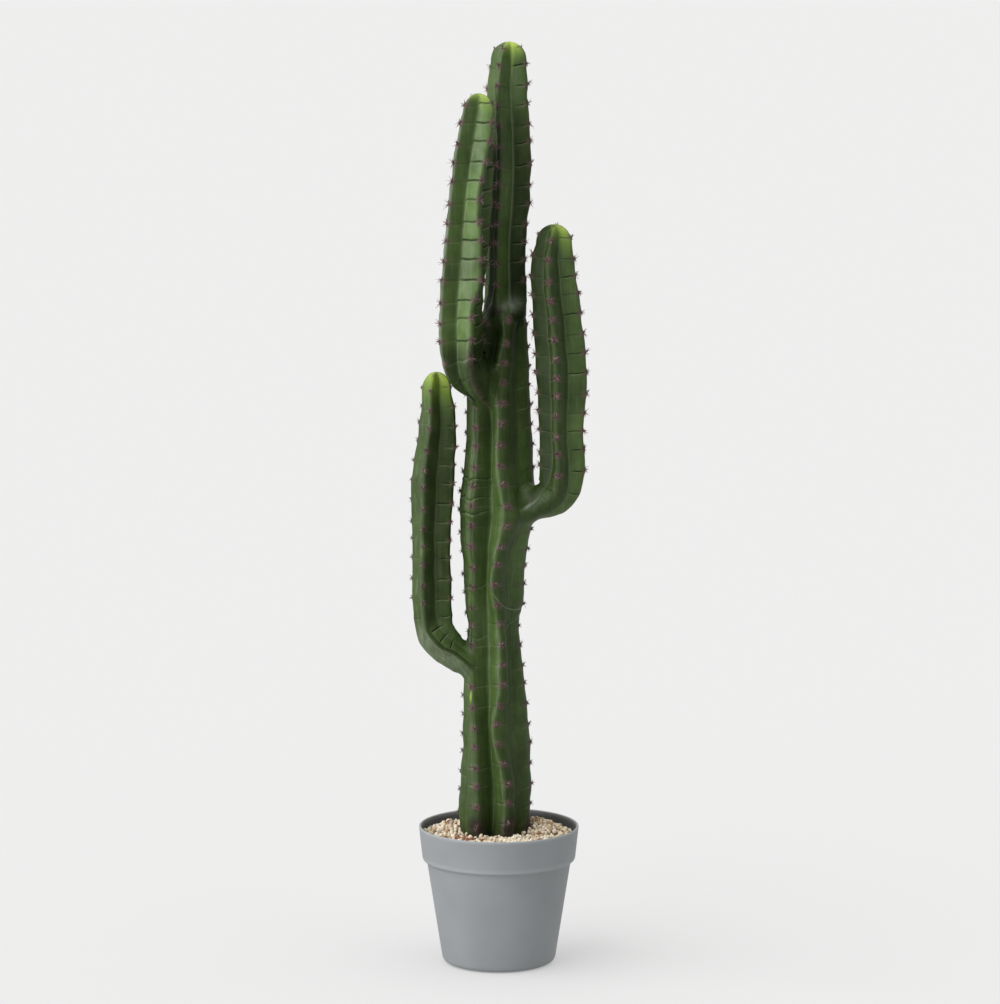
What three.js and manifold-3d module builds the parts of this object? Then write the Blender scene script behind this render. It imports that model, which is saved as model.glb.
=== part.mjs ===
// Artificial candelabra cactus in a plastic collar pot: a ribbed trunk with a top stem and three arms.
// Millimetres, +Z up. The origin is the centre of the pot's flat underside, and the front faces -Y.
import * as THREE from 'three';
import { mergeVertices } from 'three/addons/utils/BufferGeometryUtils.js';
import Module from 'manifold-3d';

const wasm = await Module();
wasm.setup();

// Clearances
const SEAT_GAP = 0.3;
const CUT_GROWTH = 0.7;

// Pot
const POT_HEIGHT = 181;
const POT_RIM_RADIUS = 104.5;
const POT_WALL = 3;
const POT_FLOOR = 5;
const COLLAR_HEIGHT = 45;
const COLLAR_FOOT_RADIUS = 100.3;
const COLLAR_FOOT_ROUND = 5;
const SHOULDER_RADIUS = 93.5;
const SHOULDER_DROP = 7;
const STEP_SOFTNESS = 1;
const BODY_TAPER = 0.157;
const FOOT_ROUND = 9;
const HEEL_INSET = 3;
const LIP_ROUND = POT_WALL / 2;
const POT_SEGMENTS = 48;
const POT_CURVE_STEPS = 4;

// Gravel that fills the pot
const GRAVEL_EDGE_HEIGHT = 170;
const GRAVEL_MOUND = 5;
const GRAVEL_HUMMOCK = 1.4;
const GRAVEL_HUMMOCK_LENGTH = 26;
const GRAVEL_RINGS = 7;

// Limb sections: half the flat crest's angle, and how far a flank bulges past a straight line
const STEM_CREST_HALF_ANGLE = 6;
const TRUNK_CREST_HALF_ANGLE = 4;
const FLANK_BULGE = 1.07;
const ROW_STEP = 17;
const TIP_ANGLES = [18, 36, 54, 70, 82];
const SHOULDER_ANGLES = [25, 50];

// Bearings are degrees about the limb: 0 faces the front and 90 faces +X.
// A rib's valley is the bottom of the groove after it, as a share of the crest radius.
const STEM_VALLEY = 0.48;
const TRUNK_RIBS = [
  { bearing: -97, valley: 0.78, sway: 0 },
  { bearing: -44, valley: 0.45, sway: 3 },
  { bearing: 8, valley: 0.7, sway: 8 },
  { bearing: 82, valley: 0.7, sway: 0 },
  { bearing: 142, valley: 0.72, sway: 5 },
  { bearing: 203, valley: 0.72, sway: 5 },
];
const SWAY_PITCH = 205;
const SWAY_CREST_HEIGHT = 594;

// Stations run from root to tip as [x, y, z, crest radius]
const TRUNK = {
  ribs: TRUNK_RIBS,
  crestHalfAngle: TRUNK_CREST_HALF_ANGLE,
  capAngles: SHOULDER_ANGLES,
  capLength: 9,
  stations: [
    [-5.5, 0, 150, 44],
    [-5, 0, 214, 47],
    [-3, 0, 286, 44],
    [-5.5, 0, 360, 40.4],
    [-6.8, 0, 413, 35.8],
    [-6.3, 0, 446, 32.5],
    [-6.3, 0, 470, 36.2],
    [-6.3, 0, 529, 40.2],
    [-2.4, 0, 604, 48],
    [0.8, 0, 675, 43.4],
    [-0.4, 0, 744, 40.7],
    [-0.4, 0, 852, 35.6],
  ],
};
const TOP_STEM = {
  ribs: evenRibs(-117),
  tipLength: 26,
  stations: [
    [9, 0, trunkTop(), 29.5],
    [9, 0, 934, 27.5],
    [13.6, 0, 1043, 30.1],
    [11, 0, 1130, 28.2],
    [12.5, 0, 1174, 25],
  ],
};
const LEFT_ARM = {
  ribs: evenRibs(-114),
  tipLength: 26,
  bendEnd: 3,
  stations: [
    [-20, -4, 382, 21],
    [-55, -11, 409, 20.5],
    [-80, -16, 435, 25.5],
    [-86, -18, 472, 27.3],
    [-87, -18, 560, 26.4],
    [-85.5, -18, 632, 29.3],
    [-78.5, -18, 710, 25.2],
    [-80, -18, 752, 20.5],
  ],
};
const RIGHT_ARM = {
  ribs: evenRibs(-103),
  tipLength: 26,
  bendEnd: 3,
  stations: [
    [12, -8, 591, 23],
    [46, -20, 606, 20.5],
    [74, -28, 624, 26.5],
    [81.5, -31, 657, 29.5],
    [80, -31, 700, 28.6],
    [80.5, -31, 775, 32.8],
    [75, -31, 845, 31.5],
    [69, -31, 915, 28.5],
    [70.5, -31, 943.5, 23.5],
  ],
};
const FRONT_ARM = {
  ribs: evenRibs(-147),
  tipLength: 25,
  bendEnd: 3,
  stations: [
    [-4, -10, 752, 24],
    [-25, -34, 767, 24],
    [-43.5, -46, 790, 28.5],
    [-48.8, -50, 830, 31.6],
    [-45.5, -50, 905, 30.6],
    [-35, -50, 1026, 29.3],
    [-26.5, -50, 1111, 22.5],
  ],
};

// Finishes
const SKIN = { color: 0x46602f, roughness: 0.45, metalness: 0 };
const POT_PLASTIC = { color: 0x8a9093, roughness: 0.5, metalness: 0 };
const GRAVEL_STONE = { color: 0xd8c9a8, roughness: 0.85, metalness: 0 };

// Height of the trunk's flat top, where the top stem is seated
function trunkTop() {
  const lastAngle = THREE.MathUtils.degToRad(TRUNK.capAngles.at(-1));
  return TRUNK.stations.at(-1)[2] + TRUNK.capLength * Math.sin(lastAngle);
}

// Four even ribs, the first at the given bearing
function evenRibs(firstBearing) {
  return [0, 90, 180, 270].map((turn) => ({ bearing: firstBearing + turn, valley: STEM_VALLEY, sway: 0 }));
}

// A point of a cross-section from its radius and bearing: x is the side axis and y the front axis
function polar(radius, bearing) {
  const angle = THREE.MathUtils.degToRad(bearing);
  return new THREE.Vector2(radius * Math.sin(angle), radius * Math.cos(angle));
}

// The middle of a flank between a crest edge and a valley, pushed out a little
function flankMiddle(start, end) {
  return start.clone().add(end).multiplyScalar(0.5 * FLANK_BULGE);
}

// One cross-section of unit crest radius: five points to a rib, from its crest round to the next crest
function crossSection(limb, height) {
  const halfAngle = limb.crestHalfAngle ?? STEM_CREST_HALF_ANGLE;
  const swayAngle = ((height - SWAY_CREST_HEIGHT) / SWAY_PITCH) * 2 * Math.PI;
  const crests = limb.ribs.map((rib) => rib.bearing + rib.sway * Math.cos(swayAngle));
  crests.push(crests[0] + 360);
  return limb.ribs.flatMap((rib, index) => {
    const [crest, nextCrest] = crests.slice(index, index + 2);
    const crestEdge = polar(1, crest + halfAngle);
    const nextEdge = polar(1, nextCrest - halfAngle);
    const valley = polar(rib.valley, (crest + nextCrest) / 2);
    return [
      polar(1, crest - halfAngle),
      crestEdge,
      flankMiddle(crestEdge, valley),
      valley,
      flankMiddle(valley, nextEdge),
    ];
  });
}

function smoothCurve(points) {
  return new THREE.CatmullRomCurve3(points, false, 'catmullrom');
}

// Rings from one station to another: centre, run, crest radius and height of each
function limbRings(limb, firstStation, lastStation) {
  const { stations } = limb;
  const path = smoothCurve(stations.map(([x, y, z]) => new THREE.Vector3(x, y, z)));
  const radii = smoothCurve(stations.map(([, , , radius]) => new THREE.Vector3(radius, 0, 0)));
  const places = [];
  for (let index = firstStation; index < lastStation; index += 1) {
    const [start, end] = [index, index + 1].map((place) => new THREE.Vector3(...stations[place]));
    const steps = Math.max(2, Math.round(start.distanceTo(end) / ROW_STEP));
    for (let step = 0; step < steps; step += 1) {
      places.push(index + step / steps);
    }
  }
  places.push(lastStation);
  return places.map((place) => {
    const share = place / (stations.length - 1);
    const centre = path.getPoint(share);
    return { centre, run: path.getTangent(share), radius: radii.getPoint(share).x, height: centre.z };
  });
}

// Rings that round a limb's end off as part of a half ellipsoid of the given length
function capRings(lastRing, length, angles) {
  return angles.map((angle) => {
    const turn = THREE.MathUtils.degToRad(angle);
    return {
      centre: lastRing.centre.clone().addScaledVector(lastRing.run, length * Math.sin(turn)),
      run: lastRing.run,
      radius: lastRing.radius * Math.cos(turn),
      height: lastRing.height,
    };
  });
}

// Moves a ring's centre along its run
function slideRing(ring, distance) {
  return { ...ring, centre: ring.centre.clone().addScaledVector(ring.run, distance) };
}

// Closed ribbed skin through rings: a lathe of unit radius whose columns are laid on the cross-sections.
// Its first and last profile points lie on the axis, so they close the root and the tip.
function ribbedSkin(limb, rings, tip, growth = 0) {
  const columns = limb.ribs.length * 5;
  const profile = [new THREE.Vector2(0, 0)];
  rings.forEach((ring, row) => profile.push(new THREE.Vector2(1, row)));
  profile.push(new THREE.Vector2(0, rings.length));
  const geometry = new THREE.LatheGeometry(profile, columns);
  const position = geometry.getAttribute('position');
  const frames = rings.map((ring) => {
    const side = new THREE.Vector3(1, 0, 0).addScaledVector(ring.run, -ring.run.x).normalize();
    const front = side.clone().cross(ring.run);
    return { side, front, section: crossSection(limb, ring.height) };
  });
  for (let vertex = 0; vertex < position.count; vertex += 1) {
    const column = Math.floor(vertex / profile.length) % columns;
    const row = (vertex % profile.length) - 1;
    let place;
    if (row < 0) {
      place = rings[0].centre;
    } else if (row === rings.length) {
      place = tip;
    } else {
      const { side, front, section } = frames[row];
      const radius = rings[row].radius + growth;
      place = rings[row].centre.clone();
      place.addScaledVector(side, section[column].x * radius);
      place.addScaledVector(front, section[column].y * radius);
    }
    position.setXYZ(vertex, place.x, place.y, place.z);
  }
  return welded(geometry);
}

// Geometry with shared vertices merged and triangles without area dropped
function welded(geometry) {
  geometry.deleteAttribute('normal');
  geometry.deleteAttribute('uv');
  const merged = mergeVertices(geometry, 1e-3);
  const corners = merged.index.array;
  const kept = [];
  for (let start = 0; start < corners.length; start += 3) {
    const triangle = [...corners.slice(start, start + 3)];
    if (new Set(triangle).size === 3) {
      kept.push(...triangle);
    }
  }
  merged.setIndex(kept);
  return merged;
}

function toSolid(geometry) {
  const vertProperties = new Float32Array(geometry.getAttribute('position').array);
  const triVerts = new Uint32Array(geometry.index.array);
  return new wasm.Manifold(new wasm.Mesh({ numProp: 3, vertProperties, triVerts }));
}

function toGeometry(solid) {
  const mesh = solid.getMesh();
  const geometry = new THREE.BufferGeometry();
  geometry.setAttribute('position', new THREE.BufferAttribute(new Float32Array(mesh.vertProperties), 3));
  geometry.setIndex(new THREE.BufferAttribute(new Uint32Array(mesh.triVerts), 1));
  return geometry;
}

// The largest piece of a body after the cutter is taken from it
function cutClear(geometry, cutter) {
  const pieces = toSolid(geometry).subtract(cutter).decompose();
  pieces.sort((one, other) => other.volume() - one.volume());
  return toGeometry(pieces[0]);
}

// The trunk from its flat foot to its flat top, grown all round where it serves as a cutter
function trunkSkin(growth) {
  const rings = limbRings(TRUNK, 0, TRUNK.stations.length - 1);
  rings.push(...capRings(rings.at(-1), TRUNK.capLength, TRUNK.capAngles));
  rings[0] = slideRing(rings[0], -growth);
  return ribbedSkin(TRUNK, rings, rings.at(-1).centre, growth);
}

// A limb from a station to its rounded tip
function tippedSkin(limb, firstStation) {
  const rings = limbRings(limb, firstStation, limb.stations.length - 1);
  const last = rings.at(-1);
  const tip = slideRing(last, limb.tipLength).centre;
  rings[0] = slideRing(rings[0], SEAT_GAP);
  return ribbedSkin(limb, [...rings, ...capRings(last, limb.tipLength, TIP_ANGLES)], tip);
}

// An arm's bend from inside the trunk to its upright
function elbowSkin(limb) {
  const rings = limbRings(limb, 0, limb.bendEnd);
  return ribbedSkin(limb, rings, rings.at(-1).centre);
}

// Outer radius of the pot's body under its collar
function bodyRadius(height) {
  return SHOULDER_RADIUS - BODY_TAPER * (POT_HEIGHT - COLLAR_HEIGHT - SHOULDER_DROP - height);
}

// Pot profile: flat foot, rounded heel, tapering body, soft step out to the collar, rounded lip, inner wall
function potGeometry() {
  const collarFoot = POT_HEIGHT - COLLAR_HEIGHT;
  const collarEdge = collarFoot + COLLAR_FOOT_ROUND;
  const stepMiddle = COLLAR_FOOT_RADIUS - COLLAR_FOOT_ROUND / 2;
  const shoulder = collarFoot - SHOULDER_DROP;
  const shoulderEdge = collarFoot - STEP_SOFTNESS;
  const heelRadius = bodyRadius(FOOT_ROUND);
  const lipCentre = POT_RIM_RADIUS - LIP_ROUND;
  const profile = new THREE.Path();
  profile.moveTo(0, 0);
  profile.lineTo(heelRadius - FOOT_ROUND, 0);
  profile.absarc(heelRadius - FOOT_ROUND, FOOT_ROUND, FOOT_ROUND, -Math.PI / 2, 0, false);
  profile.lineTo(SHOULDER_RADIUS, shoulder);
  profile.quadraticCurveTo(SHOULDER_RADIUS + STEP_SOFTNESS, shoulderEdge, stepMiddle, collarFoot);
  profile.quadraticCurveTo(COLLAR_FOOT_RADIUS, collarFoot + STEP_SOFTNESS, COLLAR_FOOT_RADIUS, collarEdge);
  profile.lineTo(POT_RIM_RADIUS, POT_HEIGHT - LIP_ROUND);
  profile.absarc(lipCentre, POT_HEIGHT - LIP_ROUND, LIP_ROUND, 0, Math.PI, false);
  innerWall(POT_WALL).forEach(([radius, height]) => profile.lineTo(radius, height));
  profile.lineTo(0, POT_FLOOR);
  return welded(new THREE.LatheGeometry(profile.getPoints(POT_CURVE_STEPS), POT_SEGMENTS));
}

// Corners of the pot's inside from the collar down to the floor, set in from the outside by a distance
function innerWall(inset) {
  const collarFoot = POT_HEIGHT - COLLAR_HEIGHT;
  return [
    [COLLAR_FOOT_RADIUS - inset, collarFoot + COLLAR_FOOT_ROUND],
    [SHOULDER_RADIUS - inset, collarFoot - SHOULDER_DROP],
    [bodyRadius(FOOT_ROUND) - inset - HEEL_INSET, POT_FLOOR + inset - POT_WALL],
  ];
}

// Gravel: fills the pot to just under the lip, with a mounded and hummocky top
function gravelGeometry() {
  const inset = POT_WALL + SEAT_GAP;
  const wall = innerWall(inset).reverse();
  const edgeSlope = (POT_RIM_RADIUS - COLLAR_FOOT_RADIUS) / (COLLAR_HEIGHT - COLLAR_FOOT_ROUND);
  const edgeRise = GRAVEL_EDGE_HEIGHT - (POT_HEIGHT - COLLAR_HEIGHT + COLLAR_FOOT_ROUND);
  const edgeRadius = COLLAR_FOOT_RADIUS - inset + edgeSlope * edgeRise;
  const profile = [new THREE.Vector2(0, wall[0][1])];
  wall.forEach(([radius, height]) => profile.push(new THREE.Vector2(radius, height)));
  for (let ring = GRAVEL_RINGS; ring >= 0; ring -= 1) {
    const share = ring / GRAVEL_RINGS;
    const height = GRAVEL_EDGE_HEIGHT + GRAVEL_MOUND * (1 - share ** 2);
    profile.push(new THREE.Vector2(edgeRadius * share, height));
  }
  const geometry = new THREE.LatheGeometry(profile, POT_SEGMENTS);
  geometry.rotateX(Math.PI / 2);
  const position = geometry.getAttribute('position');
  const wave = (2 * Math.PI) / GRAVEL_HUMMOCK_LENGTH;
  for (let vertex = 0; vertex < position.count; vertex += 1) {
    const [x, y, z] = [position.getX(vertex), position.getY(vertex), position.getZ(vertex)];
    if (z > GRAVEL_EDGE_HEIGHT) {
      position.setZ(vertex, z + GRAVEL_HUMMOCK * Math.sin(wave * x) * Math.cos(wave * y));
    }
  }
  return welded(geometry);
}

const cactus = new THREE.Group();

function addPiece(name, geometry, finish) {
  const mesh = new THREE.Mesh(geometry, new THREE.MeshStandardMaterial(finish));
  mesh.name = name;
  cactus.add(mesh);
  return mesh;
}

const trunkCutter = toSolid(trunkSkin(CUT_GROWTH));
addPiece('pot', potGeometry(), POT_PLASTIC).rotation.x = Math.PI / 2;
addPiece('gravel', cutClear(gravelGeometry(), trunkCutter), GRAVEL_STONE);
addPiece('trunk', trunkSkin(0), SKIN);
addPiece('top_stem', tippedSkin(TOP_STEM, 0), SKIN);
Object.entries({ left_arm: LEFT_ARM, right_arm: RIGHT_ARM, front_arm: FRONT_ARM }).forEach(([name, arm]) => {
  addPiece(`${name}_elbow`, cutClear(elbowSkin(arm), trunkCutter), SKIN);
  addPiece(`${name}_upright`, cutClear(tippedSkin(arm, arm.bendEnd), trunkCutter), SKIN);
});

export default cactus;
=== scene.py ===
"""Looks of an artificial candelabra cactus in a plastic collar pot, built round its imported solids.

Metres, +Z up. The origin is the centre of the pot's flat underside, and the front faces -Y.
"""

import logging
import math
from dataclasses import astuple, dataclass, field
from enum import Enum
from functools import partial, reduce
from typing import Sequence

import bpy
import numpy as np
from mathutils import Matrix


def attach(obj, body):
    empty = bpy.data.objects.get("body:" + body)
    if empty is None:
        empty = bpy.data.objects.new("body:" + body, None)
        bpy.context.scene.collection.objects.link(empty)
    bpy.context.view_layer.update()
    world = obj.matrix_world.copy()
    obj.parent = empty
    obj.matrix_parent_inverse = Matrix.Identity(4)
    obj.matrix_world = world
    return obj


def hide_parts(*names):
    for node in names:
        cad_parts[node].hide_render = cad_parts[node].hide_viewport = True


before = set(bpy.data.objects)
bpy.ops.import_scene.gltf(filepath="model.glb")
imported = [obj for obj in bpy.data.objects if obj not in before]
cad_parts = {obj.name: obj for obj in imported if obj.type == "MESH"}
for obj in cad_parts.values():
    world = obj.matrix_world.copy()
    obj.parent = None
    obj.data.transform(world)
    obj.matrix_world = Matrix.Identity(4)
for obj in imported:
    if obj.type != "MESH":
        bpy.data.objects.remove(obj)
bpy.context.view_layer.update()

LOG = logging.getLogger("cactus")

Array = np.ndarray
Colour = tuple[float, float, float]
Span = tuple[float, float]
Station = tuple[float, float, float, float]
Socket = bpy.types.NodeSocket
Tree = bpy.types.NodeTree
Piece = bpy.types.Object
Material = bpy.types.Material
Random = np.random.Generator
Value = Socket | float | Colour

BODY = "root"
PATH_SAMPLES = 1500
TRACK_SAMPLES = 400
FULL_TURN = 360.0
MILLIMETRES = 1000.0
STEM_VALLEY = 0.48
# Colour sockets of a mix node, by number.
MIX_FIRST, MIX_SECOND, MIX_RESULT = 6, 7, 2


class Slot(Enum):
    """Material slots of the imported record."""

    SKIN = "cactus_skin"
    POT = "pot_plastic"
    GRAVEL = "gravel_stone"


class Paint(Enum):
    """Values painted on the skin's vertices that its finish reads.

    Swings are millimetres from the nearest line, tone is a factor and the others run from 0 to 1. The
    tone is painted light and shade over the paint's own tone, the crease's dark line is painted shade, the
    lip is a painted highlight, and pale holds painted highlights and sheen besides real pale smudges.
    """

    TIP = "tip"
    # Painted light and shade: lighter on flanks that face the lamps, darker in shade and in other limbs'
    # shadows.
    TONE = "tone"
    CREST = "crest"
    VALLEY = "valley"
    AREOLE = "areole"
    # Pale places: painted highlights and sheen, besides real pale smudges.
    PALE = "pale"
    STAIN = "stain"
    SWING = "swing"
    CREASE = "crease"
    # Painted highlight on the lip under each crease.
    LIP = "lip"
    FOLD_SWING = "fold_swing"
    FOLD_CREASE = "fold_crease"
    FOLD_LIP = "fold_lip"


class PotPaint(Enum):
    """Values painted on the pot's vertices, from 0 to 1."""

    EDGE = "edge"
    INSIDE = "inside"


class Side(Enum):
    """The two flanks of a rib, by bearing."""

    BEFORE = False
    AFTER = True


def smooth_step(low: float, high: float, values: Array) -> Array:
    """Rises from 0 at low to 1 at high along a cubic with level ends.

    Args:
        low: value where the rise starts.
        high: value where the rise ends.
        values: values to map.

    Returns:
        The mapped values.
    """
    share = np.clip((values - low) / (high - low), 0.0, 1.0)
    return share * share * (3.0 - 2.0 * share)


def window(rise: Span, fall: Span, values: Array) -> Array:
    """Rises from 0 to 1 over the first span of values and falls back to 0 over the second."""
    return smooth_step(*rise, values) * (1.0 - smooth_step(*fall, values))


def bell(values: Array, width: float) -> Array:
    """Gaussian bump of unit height: e to the minus square of value over width."""
    return np.exp(-np.square(values / width))


def unit(vectors: Array) -> Array:
    """Vectors scaled to unit length along their last axis."""
    return vectors / np.maximum(np.linalg.norm(vectors, axis=-1, keepdims=True), 1e-12)


def polar(radius: Array | float, bearing: Array) -> Array:
    """Section points from radius and bearing: the side axis takes the sine and the front axis the cosine."""
    angle = np.radians(bearing)
    return np.stack([radius * np.sin(angle), radius * np.cos(angle)], axis=-1)


def catmull_rom(points: Array, places: Array) -> tuple[Array, Array]:
    """Uniform Catmull-Rom curve: a cubic between neighbours whose end slopes are half the chord past each.

    Args:
        points: control points, one a row.
        places: fractional indices into the points.

    Returns:
        The curve's points and its slopes at the places.
    """
    padded = np.vstack([2 * points[0] - points[1], points, 2 * points[-1] - points[-2]])
    index = np.clip(places.astype(int), 0, len(points) - 2)
    share = (places - index)[:, None]
    before, start, end, after = (padded[index + step] for step in range(4))
    leave = 0.5 * (end - before)
    arrive = 0.5 * (after - start)
    square = 3 * (end - start) - 2 * leave - arrive
    cube = 2 * (start - end) + leave + arrive
    curve = start + leave * share + square * share**2 + cube * share**3
    slope = leave + 2 * square * share + 3 * cube * share**2
    return curve, slope


def wander(along: Array, wavelength: float, rng: Random) -> Array:
    """Smooth noise along a length: four sines of random phase, each shorter and smaller than the last.

    Args:
        along: distances.
        wavelength: length of the longest wave.
        rng: seeded source of the phases.

    Returns:
        Noise of about unit size at each distance.
    """
    waves, shorter, smaller, size = 4, 1.7, 0.6, 1.4
    order = np.arange(waves)
    phases = rng.uniform(0, 2 * np.pi, waves)
    turns = 2 * np.pi * along[:, None] * shorter**order / wavelength + phases
    return (np.sin(turns) * smaller**order).sum(axis=1) / size


def quadratic(start: Array, corner: Array, end: Array, share: Array) -> Array:
    """Quadratic curve from start to end that leans towards the corner, at shares of the way."""
    return (1 - share) ** 2 * start + 2 * share * (1 - share) * corner + share**2 * end


def swing_about(index: Array, pitch: Array | float) -> tuple[Array, Array, Array]:
    """How places swing about marks that are numbered in order.

    Args:
        index: place of each point among the marks, as a fractional number.
        pitch: distance in metres from the mark below to the one above.

    Returns:
        Signed distance in millimetres, which is 0 at each mark and turns back half-way to the next, a share
        that is 1 at a mark and 0 from a quarter of the way on, and the nearest mark's number.
    """
    turn = 2 * np.pi * index
    swing = MILLIMETRES * np.sin(turn) * pitch / (2 * np.pi)
    return swing, np.clip(1.5 * np.cos(turn), 0.0, 1.0), np.round(index).astype(int)


def among(line: Array, marks: Array) -> tuple[Array, Array]:
    """Fractional numbers of distances among rising marks, and the pitch of the marks there."""
    index = np.interp(line, marks, np.arange(len(marks)))
    return index, np.diff(marks)[np.minimum(index.astype(int), len(marks) - 2)]


def smooth_round(values: Array, passes: int) -> Array:
    """Evens out values round a ring: each becomes a quarter of both neighbours and a half of itself.

    Args:
        values: one ring, or rings that close round the second axis.
        passes: how often this is done.

    Returns:
        The smoother values.
    """
    axis = min(values.ndim - 1, 1)
    for _ in range(passes):
        values = (np.roll(values, 1, axis=axis) + 2 * values + np.roll(values, -1, axis=axis)) / 4
    return values


def ring_quads(index: Array) -> Array:
    """Quads between neighbouring rings that close round their columns.

    Args:
        index: corner indices with rings and columns on the last two axes.

    Returns:
        Four corners a row, ring by ring.
    """
    right = np.roll(index, -1, axis=-1)
    low, high = np.s_[..., :-1, :], np.s_[..., 1:, :]
    return np.stack([index[low], right[low], right[high], index[high]], axis=-1).reshape(-1, 4)


@dataclass
class Surface:
    """A grid of points that closes round its columns, with a point at each end.

    Rows run so that the way round the columns, crossed with the way up the rows, points outwards.
    """

    points: Array
    start: Array
    end: Array
    paint: dict[str, Array] = field(default_factory=dict)

    def faces(self) -> tuple[Array, Array]:
        """Works out the faces.

        Returns:
            Corner indices of the grid's quads, and of the triangles that close both ends.
        """
        rows, columns = self.points.shape[:2]
        index = np.arange(rows * columns).reshape(rows, columns)
        right = np.roll(index, -1, axis=1)
        first, last = rows * columns, rows * columns + 1
        foot = np.stack([right[0], index[0], np.full(columns, first)], axis=-1)
        top = np.stack([index[-1], right[-1], np.full(columns, last)], axis=-1)
        return ring_quads(index), np.concatenate([foot, top])

    def build(self, name: str) -> Piece:
        """Makes the mesh object, smooth shaded, with the paint as point values.

        Args:
            name: name of the piece.

        Returns:
            The piece. Each end's point takes the mean paint of the ring next to it.
        """
        vertices = np.concatenate([self.points.reshape(-1, 3), [self.start, self.end]])
        piece = mesh_object(name, vertices, self.faces())
        for key, values in self.paint.items():
            ends = [values[0].mean(), values[-1].mean()]
            attribute = piece.data.attributes.new(key, "FLOAT", "POINT")
            attribute.data.foreach_set("value", np.append(values.ravel(), ends).astype(np.float32))
        return piece


def placed(name: str, data: bpy.types.ID) -> Piece:
    """Makes an object and links it to the scene.

    Args:
        name: name of the object.
        data: its mesh, lamp or camera.

    Returns:
        The object.
    """
    item = bpy.data.objects.new(name, data)
    bpy.context.scene.collection.objects.link(item)
    return item


def mesh_object(name: str, vertices: Array, faces: Sequence[Array]) -> Piece:
    """Makes a smooth-shaded mesh object from arrays and links it to the scene.

    Args:
        name: name of the piece.
        vertices: one point a row.
        faces: arrays of corner indices, each with faces of one size.

    Returns:
        The new object, at the origin.
    """
    sizes = np.concatenate([np.full(len(group), group.shape[1]) for group in faces])
    corners = np.concatenate([group.ravel() for group in faces])
    starts = np.concatenate([[0], np.cumsum(sizes)[:-1]])
    mesh = bpy.data.meshes.new(name)
    mesh.vertices.add(len(vertices))
    mesh.vertices.foreach_set("co", vertices.astype(np.float32).ravel())
    mesh.loops.add(len(corners))
    mesh.loops.foreach_set("vertex_index", corners.astype(np.int32))
    mesh.polygons.add(len(sizes))
    mesh.polygons.foreach_set("loop_start", starts.astype(np.int32))
    mesh.polygons.foreach_set("use_smooth", np.ones(len(sizes), dtype=bool))
    mesh.update(calc_edges=True)
    mesh.validate()
    return placed(name, mesh)


def settle(piece: Piece, material: Material,
           nodes: Sequence[str] = ()) -> None:
    """Dresses a piece, sets it on the plant's body and hides the solids that it replaces.

    Args:
        piece: the object.
        material: its finish.
        nodes: CAD nodes that it replaces.
    """
    piece.data.materials.append(material)
    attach(piece, BODY)
    if nodes:
        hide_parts(*nodes)
    LOG.info("%s: %d faces", piece.name, len(piece.data.polygons))


def feed(tree: Tree, socket: Socket, value: Value) -> None:
    """Links a socket to another one, or sets its constant, where a colour gets full opacity.

    Args:
        tree: the node tree.
        socket: the input to feed.
        value: an output, a number or a colour.
    """
    if isinstance(value, Socket):
        tree.links.new(value, socket)
    elif socket.type == "RGBA":
        socket.default_value = (*value, 1.0)
    else:
        socket.default_value = value


def add_node(tree: Tree, kind: str, inputs: dict[str | int, Value] | None = None,
             **options: str) -> bpy.types.Node:
    """Adds a shader node with its inputs fed.

    Args:
        tree: the node tree.
        kind: end of the node's type name.
        inputs: what feeds each input, by its name or number.
        options: the node's own settings.

    Returns:
        The node.
    """
    node = tree.nodes.new(f"ShaderNode{kind}")
    for option, choice in options.items():
        setattr(node, option, choice)
    for key, value in (inputs or {}).items():
        feed(tree, node.inputs[key], value)
    return node


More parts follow.
